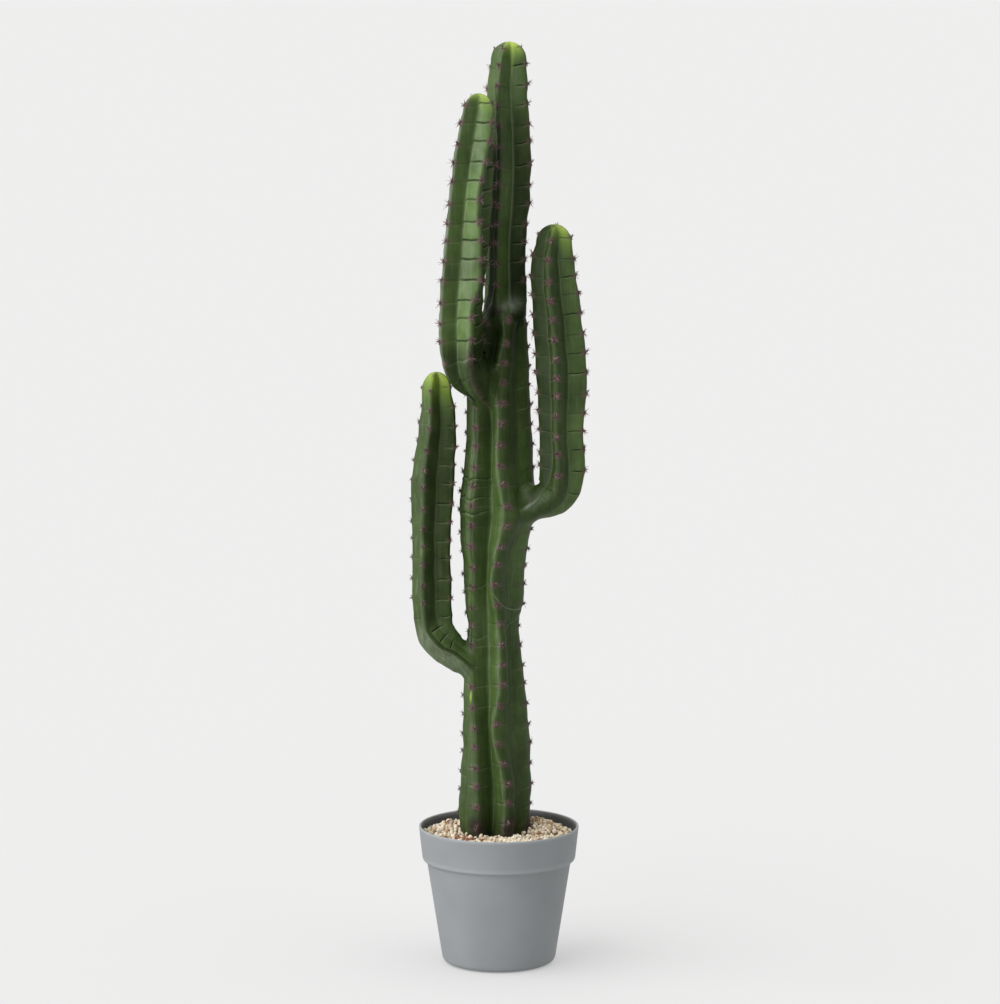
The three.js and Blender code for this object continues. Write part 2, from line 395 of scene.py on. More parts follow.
class NodeBoard:
    """A material's node tree with short calls for the nodes that the finishes use."""

    def __init__(self, name: str) -> None:
        """Makes an empty material that ends in one principled shader.

        Args:
            name: name of the material.
        """
        self.material = bpy.data.materials.new(name)
        self.material.use_nodes = True
        self.tree = self.material.node_tree
        self.tree.nodes.clear()
        self.shader = add_node(self.tree, "BsdfPrincipled")
        add_node(self.tree, "OutputMaterial", {"Surface": self.shader.outputs["BSDF"]})
        self.place = add_node(self.tree, "TexCoord").outputs["Object"]

    def stretched(self, scale: Colour) -> Socket:
        """Object coordinates scaled apart along each axis."""
        return add_node(self.tree, "Mapping", {"Vector": self.place, "Scale": scale}).outputs["Vector"]

    def noise(self, scale: float, detail: float = 3.0, vector: Socket | None = None) -> Socket:
        """Fractal noise from 0 to 1 with the given features to a metre."""
        inputs = {"Scale": scale, "Detail": detail, "Vector": vector or self.place}
        return add_node(self.tree, "TexNoise", inputs).outputs["Fac"]

    def paint(self, key: Enum) -> Socket:
        """A value painted on the vertices."""
        return add_node(self.tree, "Attribute", attribute_name=key.value).outputs["Fac"]

    def spread(self, value: Socket, low: float, high: float, to_low: float = 0.0,
               to_high: float = 1.0) -> Socket:
        """Maps the range from low to high onto another one, clamped."""
        inputs = {"Value": value, "From Min": low, "From Max": high, "To Min": to_low, "To Max": to_high}
        return add_node(self.tree, "MapRange", inputs).outputs["Result"]

    def math(self, operation: str, first: Socket | float, second: Socket | float) -> Socket:
        """One sum, product or the like of two values."""
        return add_node(self.tree, "Math", {0: first, 1: second}, operation=operation).outputs["Value"]

    def product(self, *values: Socket | float) -> Socket:
        """All values multiplied together."""
        return reduce(partial(self.math, "MULTIPLY"), values)

    def scaled(self, colour: Socket, factor: Socket) -> Socket:
        """Colour made darker or brighter by a factor."""
        node = add_node(self.tree, "VectorMath", {0: colour, "Scale": factor}, operation="SCALE")
        return node.outputs["Vector"]

    def mix(self, share: Socket | float, first: Socket | Colour, second: Socket | Colour) -> Socket:
        """Colour between two others."""
        inputs = {0: share, MIX_FIRST: first, MIX_SECOND: second}
        return add_node(self.tree, "Mix", inputs, data_type="RGBA").outputs[MIX_RESULT]

    def bump(self, height: Socket, depth: float) -> None:
        """Relief of the given depth, in metres, on the shader's normal."""
        node = add_node(self.tree, "Bump", {"Distance": depth, "Height": height})
        self.dress({"Normal": node.outputs["Normal"]})

    def dress(self, inputs: dict[str, Value]) -> None:
        """Feeds the shader's own sockets by name."""
        for name, value in inputs.items():
            feed(self.tree, self.shader.inputs[name], value)

    def finish(self, colour: Socket, roughness: Socket | float, shine: Socket | float) -> Material:
        """Sets the shader's main sockets and gives the material."""
        self.dress({"Base Color": colour, "Roughness": roughness, "Specular IOR Level": shine})
        return self.material


@dataclass(frozen=True)
class SkinFinish:
    """Painted satin plastic: mottled green, given painted light and shade flank by flank, fresh at the tips,
    lined by creases in painted shade with painted highlights on their lips, mauve round each areole.
    """

    name: str = "cactus_skin_satin"
    deep: Colour = (0.026, 0.052, 0.008)
    leaf: Colour = (0.063, 0.112, 0.022)
    shade: Colour = (0.006, 0.010, 0.003)
    fresh: Colour = (0.520, 0.670, 0.100)
    lime: Colour = (0.230, 0.410, 0.034)
    ridge: Colour = (0.034, 0.022, 0.021)
    line: Colour = (0.210, 0.250, 0.150)
    haze: Colour = (0.230, 0.260, 0.200)
    mauve: Colour = (0.112, 0.066, 0.063)
    foot: Colour = (0.032, 0.021, 0.019)
    shine: float = 0.43
    patch_scale: float = 16.0
    streak_scales: Colour = (260.0, 260.0, 16.0)
    grain_scale: float = 900.0
    fleck_scale: float = 190.0
    blotch_scale: float = 70.0
    tip_scale: float = 55.0
    relief: float = 0.0005

    def material(self) -> Material:
        """Builds the node material.

        Returns:
            Green from broad and streaky noise, given painted light and shade flank by flank, then each
            painted value laid over it in turn, among them painted sheen, painted shade in the creases and
            painted highlights.
        """
        board = NodeBoard(self.name)
        patches = board.spread(board.noise(self.patch_scale), 0.3, 0.7)
        streaks = board.noise(1.0, 4.0, board.stretched(self.streak_scales))
        grain = board.noise(self.grain_scale, 2.0)
        ragged = board.spread(board.noise(self.fleck_scale, 4.0), 0.32, 0.56, 0.2, 1.0)
        mottle = board.math("ADD", board.product(patches, 0.6), board.product(streaks, 0.5))
        colour = board.mix(board.spread(mottle, 0.1, 0.95), self.deep, self.leaf)
        tone = board.paint(Paint.TONE)
        blotch = board.noise(self.blotch_scale)
        cloud = board.spread(blotch, 0.3, 0.7, 0.86, 1.12)
        speckle = board.product(cloud, board.spread(grain, 0.3, 0.7, 0.9, 1.1))
        # Painted light and shade: the tone lightens lit flanks and darkens shaded ones.
        colour = board.scaled(colour, board.product(tone, speckle))
        uneven = board.spread(board.noise(self.tip_scale), 0.2, 0.6, 0.75, 1.0)
        tip = board.product(board.paint(Paint.TIP), uneven)
        growth = board.mix(tip, self.lime, self.fresh)
        colour = board.mix(tip, colour, growth)
        crest = board.product(board.paint(Paint.CREST), board.spread(streaks, 0.3, 0.6, 0.5, 1.0))
        colour = board.mix(crest, colour, self.ridge)
        colour = board.mix(board.product(board.paint(Paint.VALLEY), 0.5), colour, self.line)
        # Streaky painted sheen, stronger where the tone paints more light.
        colour = board.mix(board.product(board.spread(streaks, 0.55, 0.75), tone, 0.08), colour, self.haze)
        dark, pale = self.lines(board, Paint.SWING, Paint.CREASE, Paint.LIP)
        fold_dark, fold_pale = self.lines(board, Paint.FOLD_SWING, Paint.FOLD_CREASE, Paint.FOLD_LIP)
        dark = board.math("MAXIMUM", dark, fold_dark)
        pale = board.math("MAXIMUM", pale, fold_pale)
        patchy = board.spread(blotch, 0.3, 0.7, 0.35, 1.0)
        # Painted shade in each crease, and a painted highlight on the lip below it.
        colour = board.mix(board.product(dark, 0.9), colour, self.shade)
        colour = board.mix(board.product(pale, patchy, 0.75), colour, self.line)
        colour = board.mix(board.product(board.paint(Paint.AREOLE), ragged), colour, self.mauve)
        colour = board.mix(board.product(board.paint(Paint.STAIN), ragged), colour, self.foot)
        cloudy = board.spread(board.math("ADD", streaks, blotch), 0.75, 1.25, 0.4, 1.0)
        # Pale places: painted highlights and sheen, with the stem's real pale smudge.
        colour = board.mix(board.product(board.paint(Paint.PALE), cloudy), colour, self.haze)
        rough = board.spread(board.math("ADD", streaks, patches), 0.4, 1.5, 0.44, 0.58)
        brushed = board.math("ADD", board.product(streaks, 0.5), board.product(grain, 0.3))
        board.bump(board.math("SUBTRACT", brushed, dark), self.relief)
        # The shine follows the tone, so painted light also strengthens the sheen.
        gloss = board.product(board.math("MINIMUM", tone, 1.3), board.spread(dark, 0.0, 0.8, 1.0, 0.15))
        return board.finish(colour, rough, board.product(gloss, self.shine))

    @staticmethod
    def lines(board: NodeBoard, swing_key: Paint, crease_key: Paint, lip_key: Paint) -> tuple[Socket, Socket]:
        """Strength of thin lines along painted swings.

        Args:
            board: the material's nodes.
            swing_key: painted distance from the line in millimetres.
            crease_key: painted strength of the dark crease on the line, painted shade.
            lip_key: painted strength of the pale lip below it, a painted highlight.

        Returns:
            Strength of the painted shade and of the painted highlight.
        """
        swing = board.paint(swing_key)
        near = board.spread(board.math("ABSOLUTE", swing, 0.0), 0.4, 1.2, 1.0, 0.0)
        under = board.spread(board.math("ABSOLUTE", board.math("ADD", swing, 1.3), 0.0), 0.3, 0.9, 1.0, 0.0)
        return board.product(board.paint(crease_key), near), board.product(board.paint(lip_key), under)


@dataclass(frozen=True)
class PotFinish:
    """Satin blue-grey moulded plastic with a fine grain, faint clouding, paler edges and painted shade
    inside.
    """

    name: str = "pot_plastic_satin"
    grey: Colour = (0.268, 0.283, 0.292)
    cloud: Colour = (0.235, 0.249, 0.258)
    shaded: Colour = (0.062, 0.068, 0.074)
    pale_edge: Colour = (0.400, 0.420, 0.425)
    dust_and_shade: Colour = (0.330, 0.325, 0.305)
    shine: float = 0.4
    cloud_scale: float = 14.0
    grain_scale: float = 1400.0
    speck_scale: float = 420.0
    relief: float = 0.00012

    def material(self) -> Material:
        """Builds the node material.

        Returns:
            Clouded grey, paler at the edges and with painted shade inside, with dust specks and a fine grain.
        """
        board = NodeBoard(self.name)
        clouds = board.spread(board.noise(self.cloud_scale, 4.0), 0.3, 0.7)
        grain = board.noise(self.grain_scale, 2.0)
        specks = board.spread(board.noise(self.speck_scale, 2.0), 0.70, 0.78)
        colour = board.mix(clouds, self.cloud, self.grey)
        # Paler at the lip and at the collar's lower edge.
        colour = board.mix(board.product(board.paint(PotPaint.EDGE), 0.45), colour, self.pale_edge)
        colour = board.mix(board.product(specks, 0.25), colour, self.dust_and_shade)
        # Painted shade on the inside of the wall, below the lip.
        colour = board.mix(board.paint(PotPaint.INSIDE), colour, self.shaded)
        rough = board.spread(clouds, 0.0, 1.0, 0.50, 0.60)
        board.bump(grain, self.relief)
        return board.finish(colour, rough, self.shine)


@dataclass(frozen=True)
class StoneFinish:
    """One tint of gravel: a dry stone, mottled and a little pitted."""

    name: str
    stone: Colour
    vein: Colour
    roughness: float = 0.85
    shine: float = 0.3
    blot_scale: float = 240.0
    pit_scale: float = 1100.0
    relief: float = 0.0004

    def material(self) -> Material:
        """Builds the node material.

        Returns:
            Two tones in small blots with a pitted relief.
        """
        board = NodeBoard(self.name)
        blots = board.spread(board.noise(self.blot_scale, 4.0), 0.35, 0.68)
        colour = board.mix(blots, self.stone, self.vein)
        board.bump(board.noise(self.pit_scale), self.relief)
        return board.finish(colour, self.roughness, self.shine)


@dataclass(frozen=True)
class BristleFinish:
    """One tint of the painted bristles and their felted pads."""

    name: str
    base: Colour
    light: Colour
    roughness: float = 0.6
    shine: float = 0.35
    blot_scale: float = 500.0

    def material(self) -> Material:
        """Builds the node material.

        Returns:
            Two close tones in fine blots.
        """
        board = NodeBoard(self.name)
        blots = board.spread(board.noise(self.blot_scale), 0.3, 0.7)
        colour = board.mix(blots, self.base, self.light)
        return board.finish(colour, self.roughness, self.shine)


@dataclass(frozen=True)
class Rib:
    """One rib: its crest's bearing, the groove after it, and the way that a wandering crest runs.

    Bearings are degrees about the limb: 0 faces the front and 90 faces +X. The valley is the groove's bottom
    as a share of the crest radius. The track lists (height, bearing) places. The swells push out the flanks
    before and after the crest, and the edge is the strength of its dark line. The drift lists (height,
    degrees) places: how far the groove lies off the middle between its crests.
    """

    bearing: float
    valley: float
    track: tuple[Span, ...] = ()
    swells: Span = (1.08, 1.08)
    edge: float = 0.25
    drift: tuple[Span, ...] = ((0.0, 0.0),)

    def crest(self, height: Array) -> Array:
        """Bearing of the crest at each height.

        Args:
            height: heights.

        Returns:
            The bearings, along a smooth curve through the track's places if there is a track.
        """
        if not self.track:
            return np.full_like(height, self.bearing)
        curve, _ = catmull_rom(np.array(self.track), np.linspace(0, len(self.track) - 1, TRACK_SAMPLES))
        return np.interp(height, curve[:, 0], curve[:, 1])


def even_ribs(first_bearing: float, edges: Sequence[float]) -> tuple[Rib, ...]:
    """Ribs a quarter turn apart, the first at the given bearing, with the strengths of their dark lines."""
    bearings = first_bearing + FULL_TURN / 4 * np.arange(len(edges))
    return tuple(Rib(bearing, STEM_VALLEY, edge=edge) for bearing, edge in zip(bearings, edges))


@dataclass
class Rows:
    """Rings of a limb from root to tip: where each is, how it is turned and how wide its crests are."""

    centre: Array
    run: Array
    side: Array
    front: Array
    radius: Array
    along: Array
    round_off: Array


@dataclass(frozen=True)
class Flank:
    """How one flank is painted: its tone of painted light and shade against the rest, how far fresh green
    runs down it and its painted sheen.
    """

    tone: float = 1.0
    fresh: float = 0.040
    pale: float = 0.0


Flanks = dict[tuple[int, Side], Flank]


@dataclass
class Columns:
    """Where each column of a section lies: its rib, the side of that rib and how far down the flank.

    The ridge is the distance from the crest's middle: it grows by the rim's width to the start of the flank.
    """

    rib: Array
    after: Array
    flank: Array
    ridge: Array
    crest: Array

    @classmethod
    def plan(cls, ribs: int, cap: int, flank: int, rim: float = 0.06) -> "Columns":
        """Columns rib by rib: across the crest, down the flank after it, and up to the next crest.

        Args:
            ribs: number of ribs.
            cap: columns across a crest.
            flank: columns on each flank.
            rim: half width of a crest, as a share of a flank.

        Returns:
            The plan of all columns.
        """
        down = np.arange(flank) / flank
        shares = np.concatenate([np.zeros(cap), down, 1.0 - down])
        after = np.concatenate([np.arange(cap) >= cap / 2, np.ones(flank), np.zeros(flank)]).astype(bool)
        step = np.concatenate([np.zeros(cap + flank), np.ones(flank)]).astype(int)
        rib = (np.arange(ribs)[:, None] + step) % ribs
        crest = np.arange(ribs) * (cap + 2 * flank) + cap // 2
        ridge = np.concatenate([rim * np.abs(2 * np.arange(cap) / cap - 1), rim + shares[cap:]])
        return cls(rib.ravel(), np.tile(after, ribs), np.tile(shares, ribs), np.tile(ridge, ribs), crest)

    def spread(self, flanks: Flanks) -> tuple[Array, Array, Array]:
        """Painted light and shade, reach of fresh green and painted sheen for each column, blended over the
        crests and valleys.

        Args:
            flanks: flanks that differ from a plain one, by rib number and side.

        Returns:
            The three rings of values.
        """
        tone, fresh, pale = rings = [np.full(len(self.rib), value) for value in astuple(Flank())]
        for (rib, side), flank in flanks.items():
            own = (self.rib == rib) & (self.after == side.value)
            for ring, value in zip(rings, astuple(flank)):
                ring[own] = value
        return smooth_round(tone, 3), smooth_round(fresh, 6), smooth_round(pale, 3)


@dataclass
class Anchors:
    """Places of areoles on the skin, with the way out, the way along the limb and a size for each."""

    place: Array
    out: Array
    run: Array
    size: Array


@dataclass
class Limb:
    """A ribbed limb of the cactus, from its root inside its bearer to a rounded tip.

    Stations are (x, y, z, crest radius), and distances along the limb start at the root. The skin leaves the
    bearer at root_clear, its ribs deepen over root_soft and its areoles start at root_bare. Lengths are
    metres, but knobs, smudges and bend creases have widths in millimetres.

    A crease crosses the flanks from each areole: spans give its strength, slant and reach down the flank, and
    shy_side weakens it after a crest. The bend values shape an inner face with creases, before fold_rib.

    Painted places: root_shade is painted shade at the root as (start, end, tone), bend_light is painted light
    on a bend's inner face, highlit_crests get a painted highlight along them, smear is mauve on a crest as
    (rib, start, end, strength), gleam is a painted highlight as (bearing, distance, length, strength), blush
    is fresh green as (height, bearing, length, width, strength), a wrinkle is a pale line as (rib, side,
    share of the flank, strength), and smudge is the strength of the mauve round an areole.
    """

    name: str
    nodes: tuple[str, ...]
    stations: tuple[Station, ...]
    ribs: tuple[Rib, ...]
    seed: int
    flanks: Flanks = field(default_factory=dict)
    tip_length: float = 0.026
    crest_half_angle: float = 5.5
    cap_columns: int = 6
    flank_columns: int = 14
    row_step: float = 0.0011
    rounding: int = 2
    sway: float = 1.6
    sway_wave: float = 0.16
    twist: tuple[Span, ...] = ((0.0, 0.0), (1.0, 0.0))
    valley_wander: float = 0.03
    valley_wave: float = 0.12
    root_clear: float = 0.0
    root_soft: Span = (0.0, 0.02)
    root_valley: float = 0.88
    root_bare: float = 0.0
    # Painted shade at the root, where the limb goes into the trunk, as (start, end, tone).
    root_shade: tuple[float, float, float] = (0.0, 1.0, 1.0)
    tip_bare: float = 0.012
    fillet: float = 0.014
    areole_pitch: float = 0.0250
    areole_jitter: float = 0.09
    bend_pitch: float = 0.62
    tuft: float = 1.0
    pillow: float = 0.0003
    ripple_height: float = 0.0003
    knob: float = 0.0005
    knob_width: float = 3.6
    smudge: float = 1.0
    smudge_width: float = 5.2
    groove: float = 0.0005
    groove_width: float = 0.0012
    crease_strength: float = 1.0
    crease_range: Span = (0.2, 1.0)
    crease_ends: Span = (0.5, 1.15)
    crease_slant: Span = (-0.12, 0.20)
    crease_wobble: float = 0.0003
    crease_width: float = 1.0
    lip_strength: float = 0.6
    lip_range: Span = (0.1, 1.0)
    seam_strength: float = 0.3
    shy_side: float = 0.3
    bend_folds: tuple[float, ...] = ()
    bend_reach: Span = (0.080, 0.108)
    bend_valley: float = 0.74
    # Painted light on a creased bend's inner face.
    bend_light: float = 1.0
    bend_slant: float = 0.003
    bend_depth: float = 0.0008
    bend_width: float = 1.2
    bend_window: tuple[Span, Span] = ((0.05, 0.3), (0.9, 1.5))
    fold_rib: int = 2
    pale_bend: float = 0.0
    # Crests with a painted highlight along them.
    highlit_crests: tuple[int, ...] = ()
    # A painted highlight as (bearing, distance, length, strength).
    gleam: tuple[float, float, float, float] = (0.0, 0.0, 1.0, 0.0)
    gleam_width: float = 4.5
    smear: tuple[int, float, float, float] = (0, 0.0, 1.0, 0.0)
    smear_width: float = 0.18
    fresh_strength: float = 1.0
    fresh_groove: int = 1
    valley_fresh: float = 0.0
    blush: tuple[float, float, float, float, float] = (0.0, 0.0, 1.0, 1.0, 0.0)
    wrinkles: tuple[tuple[int, Side, float, float], ...] = ()
    rng: Random = field(init=False)
    rows: Rows = field(init=False)
    columns: Columns = field(init=False)
    marks: list[Array] = field(init=False)
    section: Array = field(init=False)
    outward: Array = field(init=False)
    bearing: Array = field(init=False)
    lift: Array = field(init=False)
    shift: Array = field(init=False)
    paint: dict[Paint, Array] = field(init=False)

    def shape(self) -> None:
        """Works the limb out: its rows, sections, relief and paint."""
        self.rng = np.random.default_rng(self.seed)
        self.rows = self.trace()
        self.columns = Columns.plan(len(self.ribs), self.cap_columns, self.flank_columns)
        self.section = self.cross_sections()
        around = np.roll(self.section, -1, axis=1) - np.roll(self.section, 1, axis=1)
        self.outward = unit(np.stack([-around[..., 1], around[..., 0]], axis=-1))
        self.bearing = np.degrees(np.arctan2(self.section[..., 0], self.section[..., 1]))
        self.lift = np.zeros(self.section.shape[:2])
        self.shift = np.zeros((*self.section.shape[:2], 3))
        self.paint = {key: np.zeros(self.section.shape[:2]) for key in Paint}
        self.marks = [self.areole_marks() for _ in self.ribs]
        self.carve()
        self.colour_places()

    def trace(self) -> Rows:
        """Rings at even steps along the curve through the stations, then round the tip.

        Returns:
            The rows. The tip is a half ellipsoid: sine of the angle along the run and cosine across it.
        """
        stations = np.array(self.stations)
        fine = np.linspace(0, len(stations) - 1, PATH_SAMPLES)
        path, _ = catmull_rom(stations, fine)
        steps = np.linalg.norm(np.diff(path[:, :3], axis=0), axis=1)
        travelled = np.append(0.0, np.cumsum(steps))
        along = np.linspace(0, travelled[-1], round(travelled[-1] / self.row_step))
        path, slope = catmull_rom(stations, np.interp(along, travelled, fine))
        turn = np.linspace(0, np.pi / 2, round(1.5 * self.tip_length / self.row_step))[1:-1]
        runs = unit(slope[:, :3])
        tip_rows = path[-1, :3] + np.outer(np.sin(turn) * self.tip_length, runs[-1])
        centre = np.concatenate([path[:, :3], tip_rows])
        run = np.concatenate([runs, np.tile(runs[-1], (len(turn), 1))])
        side = unit(np.array([1.0, 0.0, 0.0]) - run * run[:, :1])
        round_off = np.concatenate([np.ones(len(path)), np.cos(turn)])
        radius = np.concatenate([path[:, 3], np.full(len(turn), path[-1, 3])]) * round_off
        distance = np.concatenate([along, along[-1] + self.tip_length * turn])
        return Rows(centre, run, side, np.cross(side, run), radius, distance, round_off)

    def valley_depths(self) -> Array:
        """Depths of the grooves, row by row.

        Returns:
            Bottom of the groove after each rib as a share of the crest radius, shallow at the root and in a
            creased bend.
        """
        waves = [wander(self.rows.along, self.valley_wave, self.rng) for _ in self.ribs]
        depths = np.stack([rib.valley * (1 + self.valley_wander * wave)
                           for rib, wave in zip(self.ribs, waves)], axis=1)
        folded = self.fold_rib - 1
        depths[:, folded] += self.in_bend()[:, 0] * (self.bend_valley - depths[:, folded])
        soft = 1.0 - smooth_step(*self.root_soft, self.rows.along)[:, None]
        return depths + soft * (self.root_valley - depths)

    def cross_sections(self) -> Array:
        """Sections of unit crest radius: a crest arc, then a parabola down to the valley and one up from it.

        Returns:
            Points as (row, column, side and front), with the corners rounded by averaging neighbours.
        """
        height = self.rows.centre[:, 2]
        sways = [self.sway * wander(self.rows.along, self.sway_wave, self.rng) for _ in self.ribs]
        turn = np.interp(self.rows.along, *np.array(self.twist).T)
        crests = np.stack([rib.crest(height) + sway + turn for rib, sway in zip(self.ribs, sways)], axis=1)
        following = np.concatenate([crests[:, 1:], crests[:, :1] + FULL_TURN], axis=1)
        half = self.crest_half_angle
        fan = half * (2 * np.arange(self.cap_columns) / self.cap_columns - 1)
        cap = polar(1.0, crests[..., None] + fan)
        share = (np.arange(self.flank_columns) / self.flank_columns)[:, None]
        drifts = np.stack([np.interp(height, *np.array(rib.drift).T) for rib in self.ribs], axis=1)
        valley = polar(self.valley_depths(), (crests + following) / 2 + drifts)[:, :, None]
        leave = polar(1.0, crests + half)[:, :, None]
        arrive = polar(1.0, following - half)[:, :, None]
        swells = np.array([rib.swells for rib in self.ribs])
        down = self.parabola(leave, valley, share, swells[:, 1])
        up = self.parabola(valley, arrive, share, np.roll(swells[:, 0], -1))
        section = np.concatenate([cap, down, up], axis=2).reshape(len(height), -1, 2)
        return smooth_round(section, self.rounding)

    @staticmethod
    def parabola(start: Array, end: Array, share: Array, swells: Array) -> Array:
        """Quadratic curve whose middle is the chord's, pushed out by the rib's swell."""
        middle = (swells[:, None, None] - 0.5) * (start + end)
        return quadratic(start, middle, end, share)

    def areole_marks(self) -> Array:
        """Distances along one rib of its areoles.

        Returns:
            Steps of the pitch with a random start and a little jitter, closer together in the bend.
        """
        margin = 0.06
        reach = np.linspace(-margin, self.rows.along[-1] + margin, PATH_SAMPLES)
        bent = 1.0 - smooth_step(*self.root_soft, reach)
        pitch = self.areole_pitch * (1.0 - (1.0 - self.bend_pitch) * bent)
        number = np.cumsum((reach[1] - reach[0]) / pitch)
        steps = np.arange(1, int(number[-1])) + self.rng.uniform(0, 1)
        steps = steps + self.rng.uniform(-self.areole_jitter, self.areole_jitter, len(steps))
        return np.interp(steps, number, reach)

    def carve(self) -> None:
        """Relief across the skin, rib by rib.

        Each flank swells between the creases as the root of a parabola, each crease is a narrow bell-shaped
        groove, and each areole sits on a knob of the crest. The lines, crests and seams are painted along.
        """
        along, radius = self.rows.along[:, None], self.rows.radius[:, None]
        ribbed = smooth_step(0.7 * self.root_soft[0], self.root_soft[1], along)
        bristled = smooth_step(self.root_bare - 0.004, self.root_bare, along)
        for rib, marks in enumerate(self.marks):
            own = np.flatnonzero(self.columns.rib == rib)
            flank = self.columns.flank[own]
            slant = self.rng.uniform(*self.crease_slant)
            strengths = self.rng.uniform(*self.crease_range, len(marks))
            lips = self.rng.uniform(*self.lip_range, len(marks))
            ends = self.rng.uniform(*self.crease_ends, len(marks))
            wobble = self.crease_wobble * np.sin(9.0 * flank + 40.0 * along)
            index, pitch = among(along + slant * flank * radius + wobble, marks)
            swing, share, near = swing_about(index, pitch)
            phase = index - np.floor(index)
            side = np.where(self.columns.after[own], self.shy_side, 1.0)
            reach = side * smooth_step(0.0, 0.12, flank) * ribbed
            reach = reach * (1.0 - 0.9 * smooth_step(-0.3, 0.1, flank - ends[near]))
            crease = strengths[near] * reach * share
            swell = np.sqrt(4.0 * phase * (1.0 - phase)) - 0.6
            spot = bell(swing, self.knob_width) * share
            self.lift[:, own] = self.pillow * swell * reach + self.knob * spot * bell(flank, 0.2)
            self.lift[:, own] -= self.groove * crease * bell(swing, MILLIMETRES * self.groove_width)
            mauve = self.smudge * bell(swing, self.smudge_width) * share * bell(flank, 0.25)
            edge = self.ribs[rib].edge * bell(self.columns.ridge[own], 0.035)
            seam = self.seam_strength * bell(1.0 - flank, 0.06)
            self.paint[Paint.SWING][:, own] = swing / self.crease_width
            self.paint[Paint.CREASE][:, own] = self.crease_strength * crease
            self.paint[Paint.LIP][:, own] = self.lip_strength * lips[near] * reach * share
            self.paint[Paint.AREOLE][:, own] = mauve * bristled
            self.paint[Paint.CREST][:, own] = edge * ribbed
            self.paint[Paint.VALLEY][:, own] = seam * ribbed
        if self.bend_folds:
            self.fold_bend()
        self.lift += self.ripple_height * self.ripple()
        self.lift *= np.sqrt(self.rows.round_off)[:, None]

    def in_bend(self) -> Array:
        """How much each row belongs to a creased bend, as one column: none on a limb without such creases."""
        bend = 1.0 - smooth_step(*self.bend_reach, self.rows.along[:, None])
        return bend if self.bend_folds else np.zeros_like(bend)

    def bend_face(self) -> Array:
        """How far each column lies over the bend's inner face.

        Returns:
            0 off the face, 1 in its groove and 2 at its far crest.
        """
        first = (self.columns.rib == self.fold_rib - 1) & self.columns.after
        second = (self.columns.rib == self.fold_rib) & ~self.columns.after
        return first * self.columns.flank + second * (2.0 - self.columns.flank)

    def fold_bend(self) -> None:
        """Creases across the inner face of the bend: lines square to the run at the given distances."""
        pitch = self.bend_folds[1] - self.bend_folds[0]
        marks = np.array([self.bend_folds[0] - pitch, *self.bend_folds, self.bend_folds[-1] + pitch])
        strengths = np.array([0.0, *np.ones(len(self.bend_folds)), 0.0])
        across = self.bend_face()
        index, pitches = among(self.rows.along[:, None] - self.bend_slant * across, marks)
        swing, share, near = swing_about(index, pitches)
        strength = strengths[near] * share * window(*self.bend_window, across)
        self.lift -= self.bend_depth * strength * bell(swing, self.bend_width)
        off_face = 1.0 - self.in_bend() * (across > 0)
        self.paint[Paint.CREASE] *= off_face
        self.paint[Paint.LIP] *= off_face
        self.paint[Paint.FOLD_SWING][:] = swing
        self.paint[Paint.FOLD_CREASE][:] = strength
        self.paint[Paint.FOLD_LIP][:] = 0.5 * strength

    def ripple(self) -> Array:
        """Broad unevenness: five waves, each a sine of the distance along and of whole turns round.

        Returns:
            Heights of about unit size, from waves that each are smaller than the last.
        """
        waves, lengths, turns_below, smaller = 5, (0.02, 0.07), 6, 0.8
        total = np.zeros(self.section.shape[:2])
        for order in range(waves):
            length = self.rng.uniform(*lengths)
            turns = self.rng.integers(1, turns_below)
            phase = self.rng.uniform(0, FULL_TURN)
            angle = FULL_TURN * self.rows.along[:, None] / length + turns * self.bearing + phase
            total += np.sin(np.radians(angle)) * smaller**order
        return total

    def colour_places(self) -> None:
        """Paints the tones of painted light and shade, the smear, the pale places, the fresh growth and the
        wrinkles.
        """
        tone, fresh, haze = self.columns.spread(self.flanks)
        ribbed = smooth_step(*self.root_soft, self.rows.along[:, None])
        self.paint_shade_and_tone(tone)
        self.paint_pale(haze, ribbed)
        self.paint_fresh(fresh)
        self.paint_wrinkles(ribbed)

    def paint_shade_and_tone(self, tone: Array) -> None:
        """Paints the painted light and shade of the flanks, the painted light on a bend's inner face and the
        painted shade at the root, and one crest's smear.

        Args:
            tone: each column's tone of painted light and shade.
        """
        along = self.rows.along[:, None]
        self.paint[Paint.TONE][:] = tone + self.in_bend() * (self.bend_face() > 0) * (self.bend_light - tone)
        start, end, root_shade = self.root_shade
        self.paint[Paint.TONE] *= root_shade + (1.0 - root_shade) * smooth_step(start, end, along)
        rib, start, end, strength = self.smear
        smear = (self.columns.rib == rib) * bell(self.columns.ridge, self.smear_width)
        smear = strength * smear * (1.0 - smooth_step(start, end, along))
        self.paint[Paint.AREOLE] = np.maximum(self.paint[Paint.AREOLE], smear)

    def paint_pale(self, haze: Array, ribbed: Array) -> None:
        """Paints the painted sheen on the flanks, the pale streaks and painted sheen outside a creased bend,
        the painted highlights on crests and the gleam's painted highlight.

        Args:
            haze: each column's painted sheen.
            ribbed: how far each row's ribs have deepened.
        """
        outer = (self.columns.rib == self.fold_rib - 1) & ~self.columns.after
        under = (self.columns.rib == self.fold_rib - 2) & self.columns.after
        outside = outer * smooth_step(0.0, 0.15, self.columns.flank) + under
        pale = haze * ribbed + self.pale_bend * self.in_bend() * outside
        rim = np.isin(self.columns.rib, self.highlit_crests) * bell(self.columns.ridge, 0.05)
        bearing, middle, length, strength = self.gleam
        gleam = strength * bell(self.bearing - bearing, self.gleam_width)
        gleam = gleam * bell(self.rows.along[:, None] - middle, length)
        self.paint[Paint.PALE][:] = pale + 0.8 * rim * ribbed + gleam

